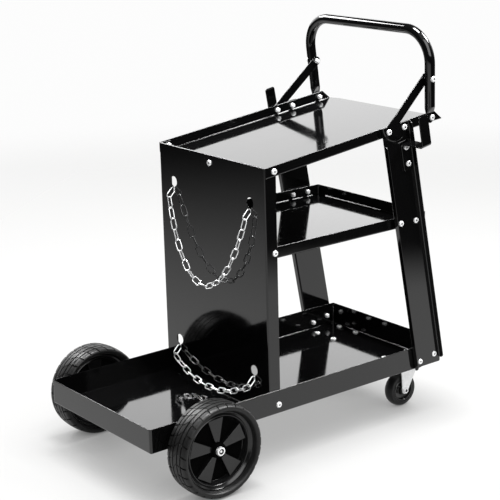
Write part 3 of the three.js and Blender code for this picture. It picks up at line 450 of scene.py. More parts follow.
def lathe(profile, steps=TURN_STEPS, closed=False):
    """A turned shape about Z from (radius, height) points. A third number gives a point's flat sides."""
    rings = []
    for k in range(steps):
        turn = math.tau * k / steps
        ring = []
        for radius, height, *sides in profile:
            if sides:
                half = math.pi / sides[0]
                radius *= math.cos(half) / math.cos((turn + half) % (2 * half) - half)
            ring.append((radius * math.cos(turn), radius * math.sin(turn), height))
        rings.append(ring)
    return skin(rings, wrap=closed, loop=True)


def sweep(path, up, sections, closed=False):
    """A bar along a flat path. Each section holds points (across the path in its plane, along up)."""
    rings = []
    for k, here in enumerate(path):
        before = path[k - 1] if closed or k > 0 else here
        after = path[(k + 1) % len(path)] if closed or k + 1 < len(path) else here
        across = up.cross(after - before).normalized()
        rings.append([here + across * a + up * b for a, b in sections[k]])
    return skin(rings, loop=closed, caps=None if closed else 0)


def facing(origin, x_axis, y_axis):
    """The matrix that lays a flat drawing on two directions at a place."""
    z_axis = x_axis.cross(y_axis)
    turned = Matrix((x_axis, y_axis, z_axis)).transposed().to_4x4()
    return Matrix.Translation(origin) @ turned


def across(side):
    """The matrix that turns Z outwards to one side of the cart, with X kept along the cart."""
    return facing(Vector(), X_AXIS, Vector((0, 0, -side)))


def outwards(at, sign, seat):
    """The matrix that sets a turned part on one side of the cart, its seat at a distance from the middle."""
    return Matrix.Translation((at.x, sign * seat, at.z)) @ across(sign)


def middle(node):
    """The centre of a node's box."""
    low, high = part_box(node)
    return (low + high) / 2


def from_middle(node):
    """How far a node at one side is from the cart's middle, at its nearest and its furthest."""
    low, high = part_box(node)
    return sorted((abs(low.y), abs(high.y)))


def joint_place(name):
    """Where a joint's axis is."""
    return Vector(next(j for j in frame["joints"] if j["name"] == name)["pos_m"])


# Finishes


def mapped(tree, source, start, end, low, high, interpolation="LINEAR"):
    """A number that runs from low to high while its source runs from start to end."""
    made = tree.nodes.new("ShaderNodeMapRange")
    made.interpolation_type = interpolation
    for socket, value in zip(("From Min", "From Max", "To Min", "To Max"), (start, end, low, high)):
        made.inputs[socket].default_value = value
    tree.links.new(source, made.inputs["Value"])
    return made.outputs["Result"]


def combined(tree, operation, one, other):
    """Two numbers made into one."""
    made = tree.nodes.new("ShaderNodeMath")
    made.operation = operation
    tree.links.new(one, made.inputs[0])
    tree.links.new(other, made.inputs[1])
    return made.outputs["Value"]


def measured(tree, operation, source, direction):
    """A place's length, or its reach along a direction."""
    made = tree.nodes.new("ShaderNodeVectorMath")
    made.operation = operation
    made.inputs[1].default_value = direction
    tree.links.new(source, made.inputs[0])
    return made.outputs["Value"]


class Finish:
    """A material in the making: a principled shader with textures in the object's own space."""

    def __init__(self, name, colour, rough, metal=0.0):
        self.material = bpy.data.materials.new(name)
        self.material.use_nodes = True
        self.tree = self.material.node_tree
        self.nodes = self.tree.nodes
        self.links = self.tree.links
        self.colour = colour
        self.shader = self.nodes["Principled BSDF"]
        self.shader.inputs["Base Color"].default_value = (*colour, 1)
        self.shader.inputs["Roughness"].default_value = rough
        self.shader.inputs["Metallic"].default_value = metal
        self.space = self.nodes.new("ShaderNodeTexCoord").outputs["Object"]

    def noise(self, scale, detail=3.0):
        """Cloudy noise with so many spots in a metre."""
        made = self.nodes.new("ShaderNodeTexNoise")
        made.inputs["Scale"].default_value = scale
        made.inputs["Detail"].default_value = detail
        self.links.new(self.space, made.inputs["Vector"])
        return made.outputs["Fac"]

    def tint(self, scale, darker, lighter):
        """Lets noise move the colour between a darker and a lighter one."""
        made = self.nodes.new("ShaderNodeValToRGB")
        for element, position, factor in zip(made.color_ramp.elements, NOISE_SPAN, (darker, lighter)):
            element.position = position
            element.color = (*scaled(self.colour, factor), 1)
        self.links.new(self.noise(scale), made.inputs["Fac"])
        self.links.new(made.outputs["Color"], self.shader.inputs["Base Color"])

    def grain(self, scale, low, high):
        """Lets noise move the roughness between two values."""
        moved = mapped(self.tree, self.noise(scale), *NOISE_SPAN, low, high)
        self.links.new(moved, self.shader.inputs["Roughness"])

    def bump(self, scale, height, strength, detail=3.0):
        """Gives the surface a fine relief of a height in metres."""
        made = self.nodes.new("ShaderNodeBump")
        made.inputs["Distance"].default_value = height
        made.inputs["Strength"].default_value = strength
        self.links.new(self.noise(scale, detail), made.inputs["Height"])
        self.links.new(made.outputs["Normal"], self.shader.inputs["Normal"])


def scaled(colour, factor):
    """A colour made lighter or darker."""
    return [min(1.0, channel * factor) for channel in colour]


def finish_values():
    """Each finish: name, colour, roughness, metal; other sockets; the noise of its tint, grain and bump."""
    looks = bpy.context.scene.welding_cart.finishes
    rough = looks.paint_rough
    specular = "Specular IOR Level"
    return {
        "paint": (
            ("Gloss black paint", looks.paint, rough), {"IOR": 1.54},
            (6, 0.8, 1.3), (45, rough * 0.75, rough * 1.25), (420, 0.02 * MM, 0.25, 2),
        ),
        "zinc": (
            ("Zinc plate", looks.zinc, 0.34, 0.3), {},
            (140, 0.9, 1.05), (900, 0.28, 0.4), (1500, 0.02 * MM, 0.3),
        ),
        "chain": (("Chain zinc", looks.zinc, 0.24, 0.7), {}, None, (900, 0.2, 0.28), None),
        "steel": (("Turned steel", looks.steel, 0.35, 1.0), {}, (200, 0.85, 1), (1200, 0.28, 0.45), None),
        # Socket: plain steel darkened to a twenty-fifth, painted shade in the bolts' sockets, the axle nuts' bores
        # and the caster axles' hollows.
        "socket": (("Socket steel", scaled(looks.steel, 0.04), 0.6), {}, None, (900, 0.5, 0.7), None),
        "tyre": (
            ("Tyre rubber", looks.rubber, 0.42), {specular: 0.3},
            (60, 0.8, 1.25), (300, 0.36, 0.5), (1800, 0.05 * MM, 0.35),
        ),
        "plastic": (
            ("Rim plastic", looks.plastic, 0.18), {specular: 0.42},
            (80, 0.85, 1.15), (500, 0.14, 0.22), (2600, 0.03 * MM, 0.3),
        ),
        # Pocket: the rim plastic darkened and dulled, painted shade in the deep pockets between the spokes; the
        # hub and its collar take it too.
        "pocket": (
            ("Pocket plastic", scaled(looks.plastic, 0.15), 0.9), {specular: 0.04},
            None, (500, 0.85, 0.95), (2600, 0.03 * MM, 0.3),
        ),
        "caster_tyre": (
            ("Caster rubber", looks.caster_rubber, 0.36), {specular: 0.3},
            (90, 0.8, 1.2), (400, 0.3, 0.44), (1600, 0.03 * MM, 0.3),
        ),
    }


made_finishes = {}


def finish(name):
    """One of the cart's materials, made once."""
    if name not in made_finishes:
        base, sockets, tint, grain, bump = finish_values()[name]
        made = Finish(*base)
        for socket, value in sockets.items():
            made.shader.inputs[socket].default_value = value
        for add, values in ((made.tint, tint), (made.grain, grain), (made.bump, bump)):
            if values:
                add(*values)
        made_finishes[name] = made.material
    return made_finishes[name]


def painted(name, shape, slot, body, *nodes):
    """A piece in one finish."""
    return piece(name, shape, [slot], body, slot, *nodes)


# Sheets


def folded_tray(low, high, sizes):
    """A tray with a lip all round: rounded rectangles from its underside, over its rim, to its floor."""
    sheet, fold, rim = sizes.sheet, sizes.fold, sizes.sheet * RIM_SHARE
    inner = fold - sheet
    floor = low.z + sheet
    turns = quarter(ARC_STEPS)
    wall = [(fold * (1 - math.sin(a)), low.z + fold * (1 - math.cos(a))) for a in turns]
    wall += [(rim * (1 - math.cos(a)), high.z - rim * (1 - math.sin(a))) for a in turns]
    wall += [(sheet - rim * (1 - math.sin(a)), high.z - rim * (1 - math.cos(a))) for a in turns]
    wall += [(sheet + inner * (1 - math.cos(a)), floor + inner * (1 - math.sin(a))) for a in turns]
    rings = []
    for d, z in wall:
        outline = rectangle(low.x + d, low.y + d, high.x - d, high.y - d, sizes.corner - d)
        rings.append([(p.x, p.y, z) for p in outline])
    return skin(rings, caps=0)


class CART_OT_trays(bpy.types.Operator):
    """Folds the base tray and the middle shelf."""

    bl_idname = "cart.trays"
    bl_label = "Trays"

    def execute(self, context):
        sizes = context.scene.welding_cart.sheets
        for node in ("base_tray", "middle_shelf"):
            shape = Shape().add(folded_tray(*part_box(node), sizes))
            painted(f"{node}_sheet", shape, "paint", "cart", node)
        return {"FINISHED"}


def keyhole(centre, sizes):
    """A keyhole's outline, clockwise: a round hole with a slot below it that ends in a half circle."""
    half = sizes.slot / 2
    mouth = math.degrees(math.asin(half / (sizes.keyhole / 2)))
    outline = arc(centre, sizes.keyhole / 2, -90 + mouth, 270 - mouth, steps=40)
    outline += arc((centre[0], centre[1] - sizes.slot_length + half), half, 180, 360, steps=10)
    return outline[::-1]


def keyhole_centres():
    """The middles of the keyholes, across the cart and up, from the anchor links in their slots."""
    rise = bpy.context.scene.welding_cart.chains.keyhole_rise
    centres = []
    for level in ("upper", "lower"):
        hinge = joint_place(f"{level}_chain_swing")
        centres += [(middle(f"{level}_chain_anchor_{side}").y, hinge.z + rise) for side, _ in SIDES]
    return centres


def folded_panel(low, high, sizes):
    """The panel: a sheet with a flange folded back along each side, pierced by the keyholes."""
    sheet, fold, edge = sizes.sheet, sizes.fold, sizes.edge
    inner = fold - sheet
    back = low.x + sheet
    side = high.y
    plan = rounded([
        (low.x, -side, fold), (high.x, -side, edge),
        (high.x, -side + sheet, edge), (back, -side + sheet, inner),
        (back, side - sheet, inner), (high.x, side - sheet, edge),
        (high.x, side, edge), (low.x, side, fold),
    ])
    profile = edge_profile(low.z, high.z, edge)
    rings = [[(p.x, p.y, z) for p in inset(plan, d)] for d, z in profile]
    points, faces = skin(rings, caps=2 * (ARC_STEPS + 1))

    def spans_face(face):
        spread = [points[i] for i in face]
        tall = max(p[2] for p in spread) - min(p[2] for p in spread) > side
        wide = max(p[1] for p in spread) - min(p[1] for p in spread) > side
        return len(face) == 4 and tall and wide

    shape = Shape().add((points, [face for face in faces if not spans_face(face)]))
    holes = [keyhole(centre, sizes) for centre in keyhole_centres()]
    bottom, top = low.z + edge, high.z - edge
    for x, reach in ((low.x, side - fold), (back, side - sheet - inner)):
        outer = [(-reach, bottom), (reach, bottom), (reach, top), (-reach, top)]
        loops = [[Vector((x, *p)) for p in outer]]
        loops += [[Vector((x, *p)) for p in inset(hole, edge)] for hole in holes]
        shape.add(([p for loop in loops for p in loop], pierced(loops)))
    for hole in holes:
        shape.add(skin([[(x, *p) for p in inset(hole, d)] for d, x in edge_profile(low.x, back, edge)]))
    return shape


def pierced(loops):
    """Triangles of a flat region in Y and Z with holes."""
    return flat([[Vector((p.y, p.z, 0)) for p in loop] for loop in loops])


class CART_OT_panel(bpy.types.Operator):
    """Folds the bottle panel and pierces its keyholes."""

    bl_idname = "cart.panel"
    bl_label = "Bottle panel"

    def execute(self, context):
        shape = folded_panel(*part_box("bottle_panel"), context.scene.welding_cart.sheets)
        painted("bottle_panel_sheet", shape, "paint", "cart", "bottle_panel")
        return {"FINISHED"}


def lipped_section(half, lip, sizes):
    """The top tray's section across the cart: a floor between two lips."""
    sheet = sizes.sheet
    least = 0.02 * MM
    room = max(lip - sheet, least)
    rim = min(sheet * RIM_SHARE, room / 2)
    inner = min(sizes.fold - sheet, room / 3)
    top = sheet + room
    return rounded([
        (-half, 0, min(sizes.fold, top / 2)), (half, 0, min(sizes.fold, top / 2)),
        (half, top, rim), (half - sheet, top, rim), (half - sheet, sheet, inner),
        (-half + sheet, sheet, inner), (-half + sheet, top, rim), (-half, top, rim),
    ])


def top_tray(low, high, sizes):
    """The sloped top tray: its section run along the slope, with lips that taper out at the handle end."""
    normal = Vector(next(m for m in frame["record"]["mounts"] if m["name"] == "top_deck")["axis"])
    rise = -normal.x / normal.z
    half = high.y
    lip_end = high.x - sizes.overhang
    stations = [
        (low.x, half, sizes.lip),
        (lip_end - sizes.lip_taper, half, sizes.lip),
        (lip_end, half, sizes.sheet),
        (high.x, half - sizes.floor_corner, sizes.sheet),
    ]
    rings = []
    for x, reach, lip in stations:
        floor = low.z + (x - low.x) * rise
        rings.append([(x, p.x, floor + p.y) for p in lipped_section(reach, lip, sizes)])
    shape = Shape().add(skin(rings, caps=FOLD_START))
    reach = half - 2 * sizes.sheet - 2 * sizes.edge
    start = Vector((low.x + sizes.lip * rise, 0, low.z + sizes.lip * rise * rise))
    front = rounded([
        (-reach, 0, 0), (reach, 0, 0), (reach, sizes.lip, sizes.edge), (-reach, sizes.lip, sizes.edge),
    ])
    return shape.add(prism(front, 0, sizes.sheet, sizes.edge), facing(start, Y_AXIS, normal))


class CART_OT_top_tray(bpy.types.Operator):
    """Folds the sloped top tray."""

    bl_idname = "cart.top_tray"
    bl_label = "Top tray"

    def execute(self, context):
        shape = top_tray(*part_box("top_tray"), context.scene.welding_cart.sheets)
        painted("top_tray_sheet", shape, "paint", "cart", "top_tray")
        return {"FINISHED"}


# Uprights, handle, braces and hooks


class UprightFrame:
    """One upright's own axes: across it, up it and outwards, from the middle of its foot."""

    def __init__(self, side, sign, sizes):
        bolts = {
            level: [middle(f"upright_{level}_bolt_{k}_{side}") for k in (1, 2)] for level in ("foot", "top")
        }
        low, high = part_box(f"upright_{side}")
        self.face = from_middle(f"upright_{side}")[0]
        self.depth = high.y - low.y
        self.sign = sign
        self.across = (bolts["foot"][1] - bolts["foot"][0]).normalized()
        self.up = self.across.cross(Y_AXIS)
        self.up *= 1 if self.up.z > 0 else -1
        foot = (bolts["foot"][0] + bolts["foot"][1]) / 2
        top = (bolts["top"][0] + bolts["top"][1]) / 2
        origin = foot - self.up * sizes.bolt_edge
        self.origin = Vector((origin.x, sign * self.face, origin.z))
        self.length = (top - origin).dot(self.up) + sizes.top_edge

    def place(self, u, depth, w):
        """A point in the cart's axes from the upright's own."""
        return self.origin + self.across * u + Vector((0, self.sign * depth, 0)) + self.up * w


def channel_section(half, front, back, sheets):
    """An upright's section, across and outwards: a web with a flange of its own depth at each side."""
    sheet, fold = sheets.sheet, sheets.fold
    corners = [(-half, 0, fold), (half, 0, fold)]
    for x, depth in ((half, back), (-half, front)):
        room = (depth - sheet) / 3
        edge, inner = min(sheets.edge, room), min(fold - sheet, room)
        inside = x - math.copysign(sheet, x)
        flange = [(x, depth, edge), (inside, depth, edge), (inside, sheet, inner)]
        corners += flange if x > 0 else flange[::-1]
    return rounded(corners)


def flange_depth(w, end, depth, low, high):
    """A flange's depth at a height: full between the rounded corners at its foot and its end."""
    if w < low:
        return depth - low + math.sqrt(low * low - (low - w) ** 2)
    if w > end - high:
        return depth - high + math.sqrt(max(0, high * high - (w - end + high) ** 2))
    return depth


def upright(own, sizes, sheets):
    """An upright: a channel with a shorter front flange and a half-round pressing at its slanted end."""
    half, sheet, end = sizes.web / 2, sheets.sheet, own.length
    low, pressing = sizes.flange_corner, sizes.pressing
    front_end = end - sizes.front_drop
    least = sheet + 0.5 * MM
    turns = quarter(2 * ARC_STEPS)
    bite = [(pressing * math.sin(a), end - pressing * math.cos(a)) for a in turns]
    heights = {low * (1 - math.cos(a)) for a in turns} | {w for _, w in bite}
    heights |= {front_end - low * (1 - math.cos(a)) for a in turns}
    heights |= {end - sizes.flange_top * (1 - math.cos(a)) for a in turns}
    stations = []
    for w in sorted(heights):
        front = flange_depth(w, front_end, own.depth, low, low) if w <= front_end else least
        back = flange_depth(w, end, own.depth, low, sizes.flange_top)
        stations.append((w, max(front, least), max(back, least)))
        if w == front_end:
            stations.append((w, least, max(back, least)))

    def at(u, depth, w):
        slant = max(0.0, w - end + 2 * pressing) / (2 * pressing)
        return own.place(u, depth, w - u * math.tan(sizes.top_fall) * slant)

    sections = [channel_section(half, front, back, sheets) for _, front, back in stations]
    rings = [[at(p.x, p.y, w) for p in section] for (w, _, _), section in zip(stations, sections)]
    points, faces = skin(rings)
    size = len(rings[0])
    inside, outside = web_edges(size)
    web = [{i, (i + 1) % size} for i in (inside[0], outside[0])]
    order = [(FOLD_START + i) % size for i in range(size)]
    inner_half, outer_half = order[:size // 2], order[:size // 2 - 1:-1]
    kept = [f for f in faces if {i % size for i in f} not in web]
    shape = Shape().add((points, kept + ladder(inner_half, outer_half)))
    swell = ((0, 0), (0.8 * MM, 0.12), (2.0 * MM, 0.9), (2.8 * MM, 1))
    narrower = 0.3 * MM
    outer = [(pressing - d, sheet + sizes.pressing_depth * rise) for d, rise in swell]
    back = [(r - narrower * k, depth - sheet) for k, (r, depth) in enumerate(outer)]
    chains = []
    for right, left, profile, edge in ((*inside, outer, inner_half), (*reversed(outside), back, outer_half)):
        rows = [(section[left].x, section[right].x, w) for (w, _, _), section in zip(stations, sections)]
        shape.add(bitten_web(rows, bite, at, profile[0][1]))
        bowl = []
        for turn in [-a for a in reversed(turns[1:])] + turns:
            ring = [at(r * math.sin(turn), d, end - r * math.cos(turn)) for r, d in profile]
            bowl.append(ring + [at(0, profile[-1][1], end)])
        shape.add(skin(bowl, wrap=False))
        rise = profile + [(0, profile[-1][1])] + [(-r, d) for r, d in reversed(profile)]
        chain = [tuple(sections[-1][i]) for i in edge]
        split = next(k for k, (x, _) in enumerate(chain) if x < 0)
        chains.append([at(u, d, end) for u, d in chain[:split] + rise + chain[split:]])
    top = len(chains[0])
    return shape.add((chains[0] + chains[1], ladder(range(top), range(top, 2 * top))))


def web_edges(size):
    """Where a channel section's web starts and ends, on its inside and on its outside."""
    step = size // 8
    return (5 * step - 1, 5 * step), (step - 1, step)


def bite_width(w, bite):
    """Half the width of the pressing's half circle at a height, or None below it."""
    if w < bite[0][1]:
        return None
    low, high = next(pair for pair in zip(bite, bite[1:]) if w <= pair[1][1])
    return low[0] + (high[0] - low[0]) * (w - low[1]) / (high[1] - low[1])


def bitten_web(rows, bite, at, depth):
    """A web's face at a depth, from its foot to its end, cut by the pressing's half circle."""
    points = []
    faces = []

    def face(*corners):
        faces.append(tuple(range(len(points), len(points) + len(corners))))
        points.extend(at(u, depth, w) for u, w in corners)

    for (left, right, w), (next_left, next_right, next_w) in zip(rows, rows[1:]):
        start, stop = bite_width(w, bite), bite_width(next_w, bite)
        if next_w == w:
            continue
        if stop is None:
            face((left, w), (right, w), (next_right, next_w), (next_left, next_w))
        elif start is None:
            face((left, w), (right, w), (next_right, next_w), (0, next_w), (next_left, next_w))
        else:
            face((left, w), (-start, w), (-stop, next_w), (next_left, next_w))
            face((start, w), (right, w), (next_right, next_w), (stop, next_w))
    return points, faces


class CART_OT_uprights(bpy.types.Operator):
    """Folds and presses the uprights."""

    bl_idname = "cart.uprights"
    bl_label = "Uprights"

    def execute(self, context):
        settings = context.scene.welding_cart
        for side, sign in SIDES:
            own = UprightFrame(side, sign, settings.frame)
            shape = upright(own, settings.frame, settings.sheets)
            painted(f"upright_{side}_channel", shape, "paint", "cart", f"upright_{side}")
        return {"FINISHED"}


class HandleFrame:
    """The handle's own axes, from the bolt at the foot of its legs to its crown."""

    def __init__(self, sizes):
        low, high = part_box("handle_tube")
        reach = sizes.tab_width / 2
        self.foot = Vector((high.x - reach, 0, low.z + reach))
        crown = Vector((low.x + sizes.tube / 2, 0, high.z - sizes.tube / 2))
        self.up = (crown - self.foot).normalized()
        self.out = Y_AXIS.cross(self.up)
        self.crown = (crown - self.foot).length
        self.foot_leg = UprightFrame("right", 1, sizes).face + sizes.tab / 2
        self.splay = sizes.splay

    def leg(self, w):
        """How far a leg's middle is from the cart's, at a height above its foot."""
        return self.foot_leg + w * math.tan(self.splay)


def oval(half_across, half_along, power, steps=32):
    """A section between an ellipse and a rounded rectangle."""
    points = []
    for k in range(steps):
        turn = math.tau * k / steps
        c, s = math.cos(turn), math.sin(turn)
        a = half_across * math.copysign(abs(c) ** (2 / power), c)
        b = half_along * math.copysign(abs(s) ** (2 / power), s)
        points.append((a, b))
    return points


def handle(own, sizes):
    """The push handle: a bent tube with splayed legs, whose ends are pressed flat and rounded."""
    radius, reach, bend = sizes.tube / 2, sizes.tab_width / 2, sizes.bend
    tip = 0.6 * MM
    pressed, plain = 5, 2
    swell_steps, bend_steps = 10, 16
    bend_rise = own.crown - bend
    bend_middle = own.leg(bend_rise - bend * math.sin(own.splay)) - bend * math.cos(own.splay)
    half = []
    foot = [-reach * math.cos(a) for a in quarter(8)]
    for w in foot + [sizes.tab_start + sizes.tab_rise * k / swell_steps for k in range(swell_steps + 1)]:
        swell = min(1.0, max(0.0, (w - sizes.tab_start) / sizes.tab_rise))
        width = math.sqrt(max(reach * reach - min(w, 0) ** 2, tip ** 2))
        thick = sizes.tab / 2 + (radius - sizes.tab / 2) * swell
        section = oval(thick, width + (radius - width) * swell, pressed + (plain - pressed) * swell)
        half.append((own.leg(max(w, 0)), w, section))
    tube = oval(radius, radius, plain)
    for k in range(bend_steps + 1):
        turn = -own.splay + (math.pi / 2 + own.splay) * k / bend_steps
        half.append((bend_middle + bend * math.cos(turn), bend_rise + bend * math.sin(turn), tube))
    path = half + [(-y, w, section) for y, w, section in reversed(half)]
    points = [own.foot + Y_AXIS * y + own.up * w for y, w, _ in path]
    return sweep(points, own.out, [section for _, _, section in path])


class BraceFrame:
    """A brace's own axes: along it from its foot bolt, with its faces' distances from the cart's middle."""

    def __init__(self, side, sizes):
        low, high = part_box(f"brace_{side}")
        radius = sizes.brace_width / 2
        self.foot = Vector((low.x + radius, 0, low.z + radius))
        self.head = Vector((high.x - radius, 0, high.z - radius))
        self.span = (self.head - self.foot).length
        self.along = (self.head - self.foot) / self.span
        self.inner, self.outer = from_middle(f"brace_{side}")


def brace(own, sign, sizes):
    """A flat bar with round ends that lies on the lip and slants inwards above it."""
    radius, thick, flat_end = sizes.brace_width / 2, sizes.brace_strip, sizes.brace_flat
    slant = (own.outer - thick - own.inner) / (own.span + radius - flat_end)
    first, steps, ease = 4, 12, 2 * MM
    turns = [math.radians(first + (90 - first) * k / steps) for k in range(steps + 1)]
    stations = [(-radius * math.cos(a), radius * math.sin(a)) for a in turns]
    stations += [(flat_end - ease, radius), (flat_end + ease, radius)]
    stations += [(own.span + radius * math.cos(a), radius * math.sin(a)) for a in reversed(turns)]
    points = []
    for s, _ in stations:
        y = own.outer - thick / 2 - slant * max(0.0, s - flat_end)
        points.append(own.foot + own.along * s + Y_AXIS * (sign * y))
    return sweep(points, Y_AXIS.cross(own.along), [strip_section(thick / 2, half) for _, half in stations])


class CART_OT_handle(bpy.types.Operator):
    """Bends the push handle and cuts its braces."""

    bl_idname = "cart.handle"
    bl_label = "Handle and braces"

    def execute(self, context):
        sizes = context.scene.welding_cart.frame
        shape = Shape().add(handle(HandleFrame(sizes), sizes))
        painted("handle_bent_tube", shape, "paint", "cart", "handle_tube")
        for side, sign in SIDES:
            shape = Shape().add(brace(BraceFrame(side, sizes), sign, sizes))
            painted(f"brace_{side}_bar", shape, "paint", "cart", f"brace_{side}")
        return {"FINISHED"}


def strip_section(half_thick, half_wide):
    """A flat strip's section with rounded edges."""
    edge = min(half_thick, half_wide) * 0.6
    return [tuple(p) for p in rectangle(-half_thick, -half_wide, half_thick, half_wide, edge, EDGE_STEPS)]


def hook(own, sizes):
    """A cable hook: a strip with a plate on the upright, an arm outwards and a tip upwards."""
    half, corner = sizes.hook_strip / 2, sizes.hook_corner
    bend = sizes.hook_bend + half
    low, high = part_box("cable_hook_right")
    reach = high.y - low.y - half
    start = low.y - own.face
    turns = quarter(8)
    ends = [(corner * (1 - math.cos(a)), corner * (1 - math.sin(a))) for a in turns]
    path = [(half, cut - sizes.hook_plate, narrower) for cut, narrower in ends]
    path += [(half, -half - bend, 0)]
    path += [(half + bend * (1 - math.cos(a)), -half - bend * (1 - math.sin(a)), 0) for a in turns]
    path += [(reach - bend * (1 - math.sin(a)), -half + bend * (1 - math.cos(a)), 0) for a in turns]
    path += [(reach, sizes.hook_tip - cut, narrower) for cut, narrower in reversed(ends)]
    points = []
    sections = []
    for depth, w, narrower in path:
        rise = own.length - sizes.hook_drop + w
        points.append(own.place(sizes.hook_offset, start + depth, rise))
        sections.append(strip_section(half, sizes.hook_width / 2 - narrower))
    return sweep(spread(points), own.across, sections)


def spread(points):
    """Keeps neighbouring points apart, so that each has a direction."""
    kept = [points[0]]
    for here in points[1:]:
        step = here - kept[-1]
        kept.append(here if step.length > WELD else here + Z_AXIS * 10 * WELD)
    return kept


class CART_OT_hooks(bpy.types.Operator):
    """Bends the cable hooks."""

    bl_idname = "cart.hooks"
    bl_label = "Cable hooks"

    def execute(self, context):
        settings = context.scene.welding_cart
        for side, sign in SIDES:
            own = UprightFrame(side, sign, settings.frame)
            shape = Shape().add(hook(own, settings.frame))
            painted(f"cable_hook_{side}_strip", shape, "paint", "cart", f"cable_hook_{side}")
        return {"FINISHED"}


# Bolts


def bolt(grip, sizes, saddle=0.0):
    """A bolt about Z with its head's seat at 0: a dome with a hexagon socket, a shank and a nut.

    A saddle carries the head's rim on below its seat, where that lies on a round tube.
    """
    head, rise = sizes.head / 2, sizes.head_height
    socket, shank, hexagon = sizes.socket / 2, sizes.shank / 2, sizes.nut / 2
    crown, rim = head * 0.66, 0.6 * MM
    low = -grip - sizes.nut_height
    end = low - 0.8 * MM
    bottom = rise - 2.2 * MM
    socket_edge = (socket, rise - 0.15 * MM, 6)
    # The socket's floor and walls take the second finish, painted shade.
    shape = Shape().add(lathe([(0, bottom), (socket * 0.96, bottom, 6), socket_edge], BOLT_STEPS), finish=1)
    profile = [socket_edge]
    profile += [(crown + (head - crown) * math.sin(a), rim + (rise - rim) * math.cos(a)) for a in quarter(6)]
    profile += [(head, -saddle), (shank, -saddle), (shank, -grip), (hexagon * 0.92, -grip)]
    profile += [(hexagon, -grip - 0.6 * MM, 6), (hexagon, low + 0.8 * MM, 6), (hexagon * 0.8, low)]
    profile += [(shank, low), (shank, low - 0.3 * MM), (shank * 0.8, end), (0, end)]
    return shape.add(lathe(profile, BOLT_STEPS))


def set_bolt(name, made, place, *nodes):
    """Sets a bolt in its place: zinc plate, with its socket painted dark as shade."""
    piece(name, made.moved(place), BOLT_AND_SHADE_FINISHES, "cart", "zinc", *nodes)


class CART_OT_bolts(bpy.types.Operator):
    """Sets the bolts of the panel, the trays, the uprights, the handle, the braces and the hooks."""

    bl_idname = "cart.bolts"
    bl_label = "Bolts"

    def execute(self, context):
        settings = context.scene.welding_cart
        sizes = settings.bolts
        for node in sorted(frame["nodes"]):
            if "_bolt" not in node:
                continue
            at = middle(node)
            near, far = from_middle(node)
            seat = far - sizes.head_height
            made = bolt(seat - near - sizes.nut_height, sizes)
            set_bolt(f"{node}_zinc", made, outwards(at, 1 if at.y > 0 else -1, seat), node)
        self.extra_bolts(settings)
        return {"FINISHED"}

    def extra_bolts(self, settings):
        """The bolts that have no node: on the handle's legs, the braces, the hooks and the panel's face."""
        bolts, sizes, sheet = settings.bolts, settings.frame, settings.sheets.sheet
        saddle, sunk = 2.2 * MM, 0.4 * MM
        hook_gap, hook_drops, panel_drop = 0.3 * MM, (11 * MM, 44.5 * MM), 15 * MM
        own = HandleFrame(sizes)
        for side, sign in SIDES:
            stand, bar = UprightFrame(side, sign, sizes), BraceFrame(side, sizes)
            at = own.foot + own.out * sizes.bolt_offset
            made = bolt(sizes.tab + 2 * sheet, bolts)
            set_bolt(f"handle_bolt_{side}", made, outwards(at, sign, stand.face + sizes.tab))
            outer = own.leg((bar.head - own.foot).dot(own.up)) + sizes.tube / 2 - sunk
            made = bolt(outer - bar.inner, bolts, saddle)
            set_bolt(f"brace_bolt_{side}", made, outwards(bar.head, sign, outer))
            seat = stand.face + sheet + hook_gap + sizes.hook_strip
            for k, drop in enumerate(hook_drops):
                at = stand.place(sizes.hook_offset, 0, stand.length - sizes.hook_drop - drop)
                made = bolt(sizes.hook_strip + sheet, bolts)
                set_bolt(f"hook_bolt_{k + 1}_{side}", made, outwards(at, sign, seat))
        low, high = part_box("bottle_panel")
        face = Vector((low.x, 0, high.z - panel_drop))
        set_bolt("panel_face_bolt", bolt(3 * sheet, bolts), facing(face, Y_AXIS, -Z_AXIS))


# Wheels


# Half of a tyre's section from its bead to its crown: below the crown, in from the side, what grooves cut it
TREAD_MM = (
    (15.8, 12.5, None), (14.5, 10.4, None), (13.6, 7.0, None), (12.4, 3.2, None), (10.8, 1.0, None),
    (8.8, 0.1, None), (6.6, 0, None), (5.6, 0.4, None), (4.8, 0.6, "block"), (2.9, 2.0, "block"),
    (1.6, 5.0, "block"), (0.9, 10.6, "block"), (0.8, 11.2, "ring"), (0.8, 12.8, "ring"), (0.6, 13.4, "rib"),
    (0.1, 20.0, "rib"), (0.1, 20.6, "ring"), (0.1, 22.2, "ring"), (0, 22.8, "rib"),
)
# Where a block starts and ends, as shares of the way to the next block, and where its groove is cut
BLOCK_MARKS = ((0.0, 0), (0.02, 1), (0.14, 1), (0.16, 0), (0.44, 0), (0.72, 0))
# The lips of a rim: in from the outer lip's edge, back from its face
RIM_LIPS_MM = (
    (1.6, 6.0), (0.2, 2.0), (0, 1.2), (0.4, 0.4), (1.2, 0), (2.0, 0.4), (2.5, 1.3),
    (6.4, 4.4), (6.9, 4.0), (7.2, 3.2), (8.0, 2.6), (8.9, 2.8), (9.6, 3.6),
)


def tyre(radius, width, sizes):
    """A tyre about Z whose shoulders are cut into blocks, with grooves round its crown."""
    half = width / 2
    slant, stagger, rib_share = 0.35, 0.5, 0.3
    loop = mirrored([(radius - down * MM, half - aside * MM, cut) for down, aside, cut in TREAD_MM])
    loop.append((loop[0][0], 0, None))
    rings = []
    for block in range(sizes.blocks):
        for mark, cut_here in BLOCK_MARKS:
            ring = []
            for r, h, cut in loop:
                shift = stagger if h < 0 else 0.0
                turn = math.tau * (block + mark + shift + abs(h) / half * slant) / sizes.blocks
                depth = sizes.groove if cut == "ring" or (cut == "block" and cut_here) else 0
                depth = rib_share * sizes.groove if cut == "rib" and cut_here else depth
                ring.append(((r - depth) * math.cos(turn), (r - depth) * math.sin(turn), h))
            rings.append(ring)
    return skin(rings, loop=True)


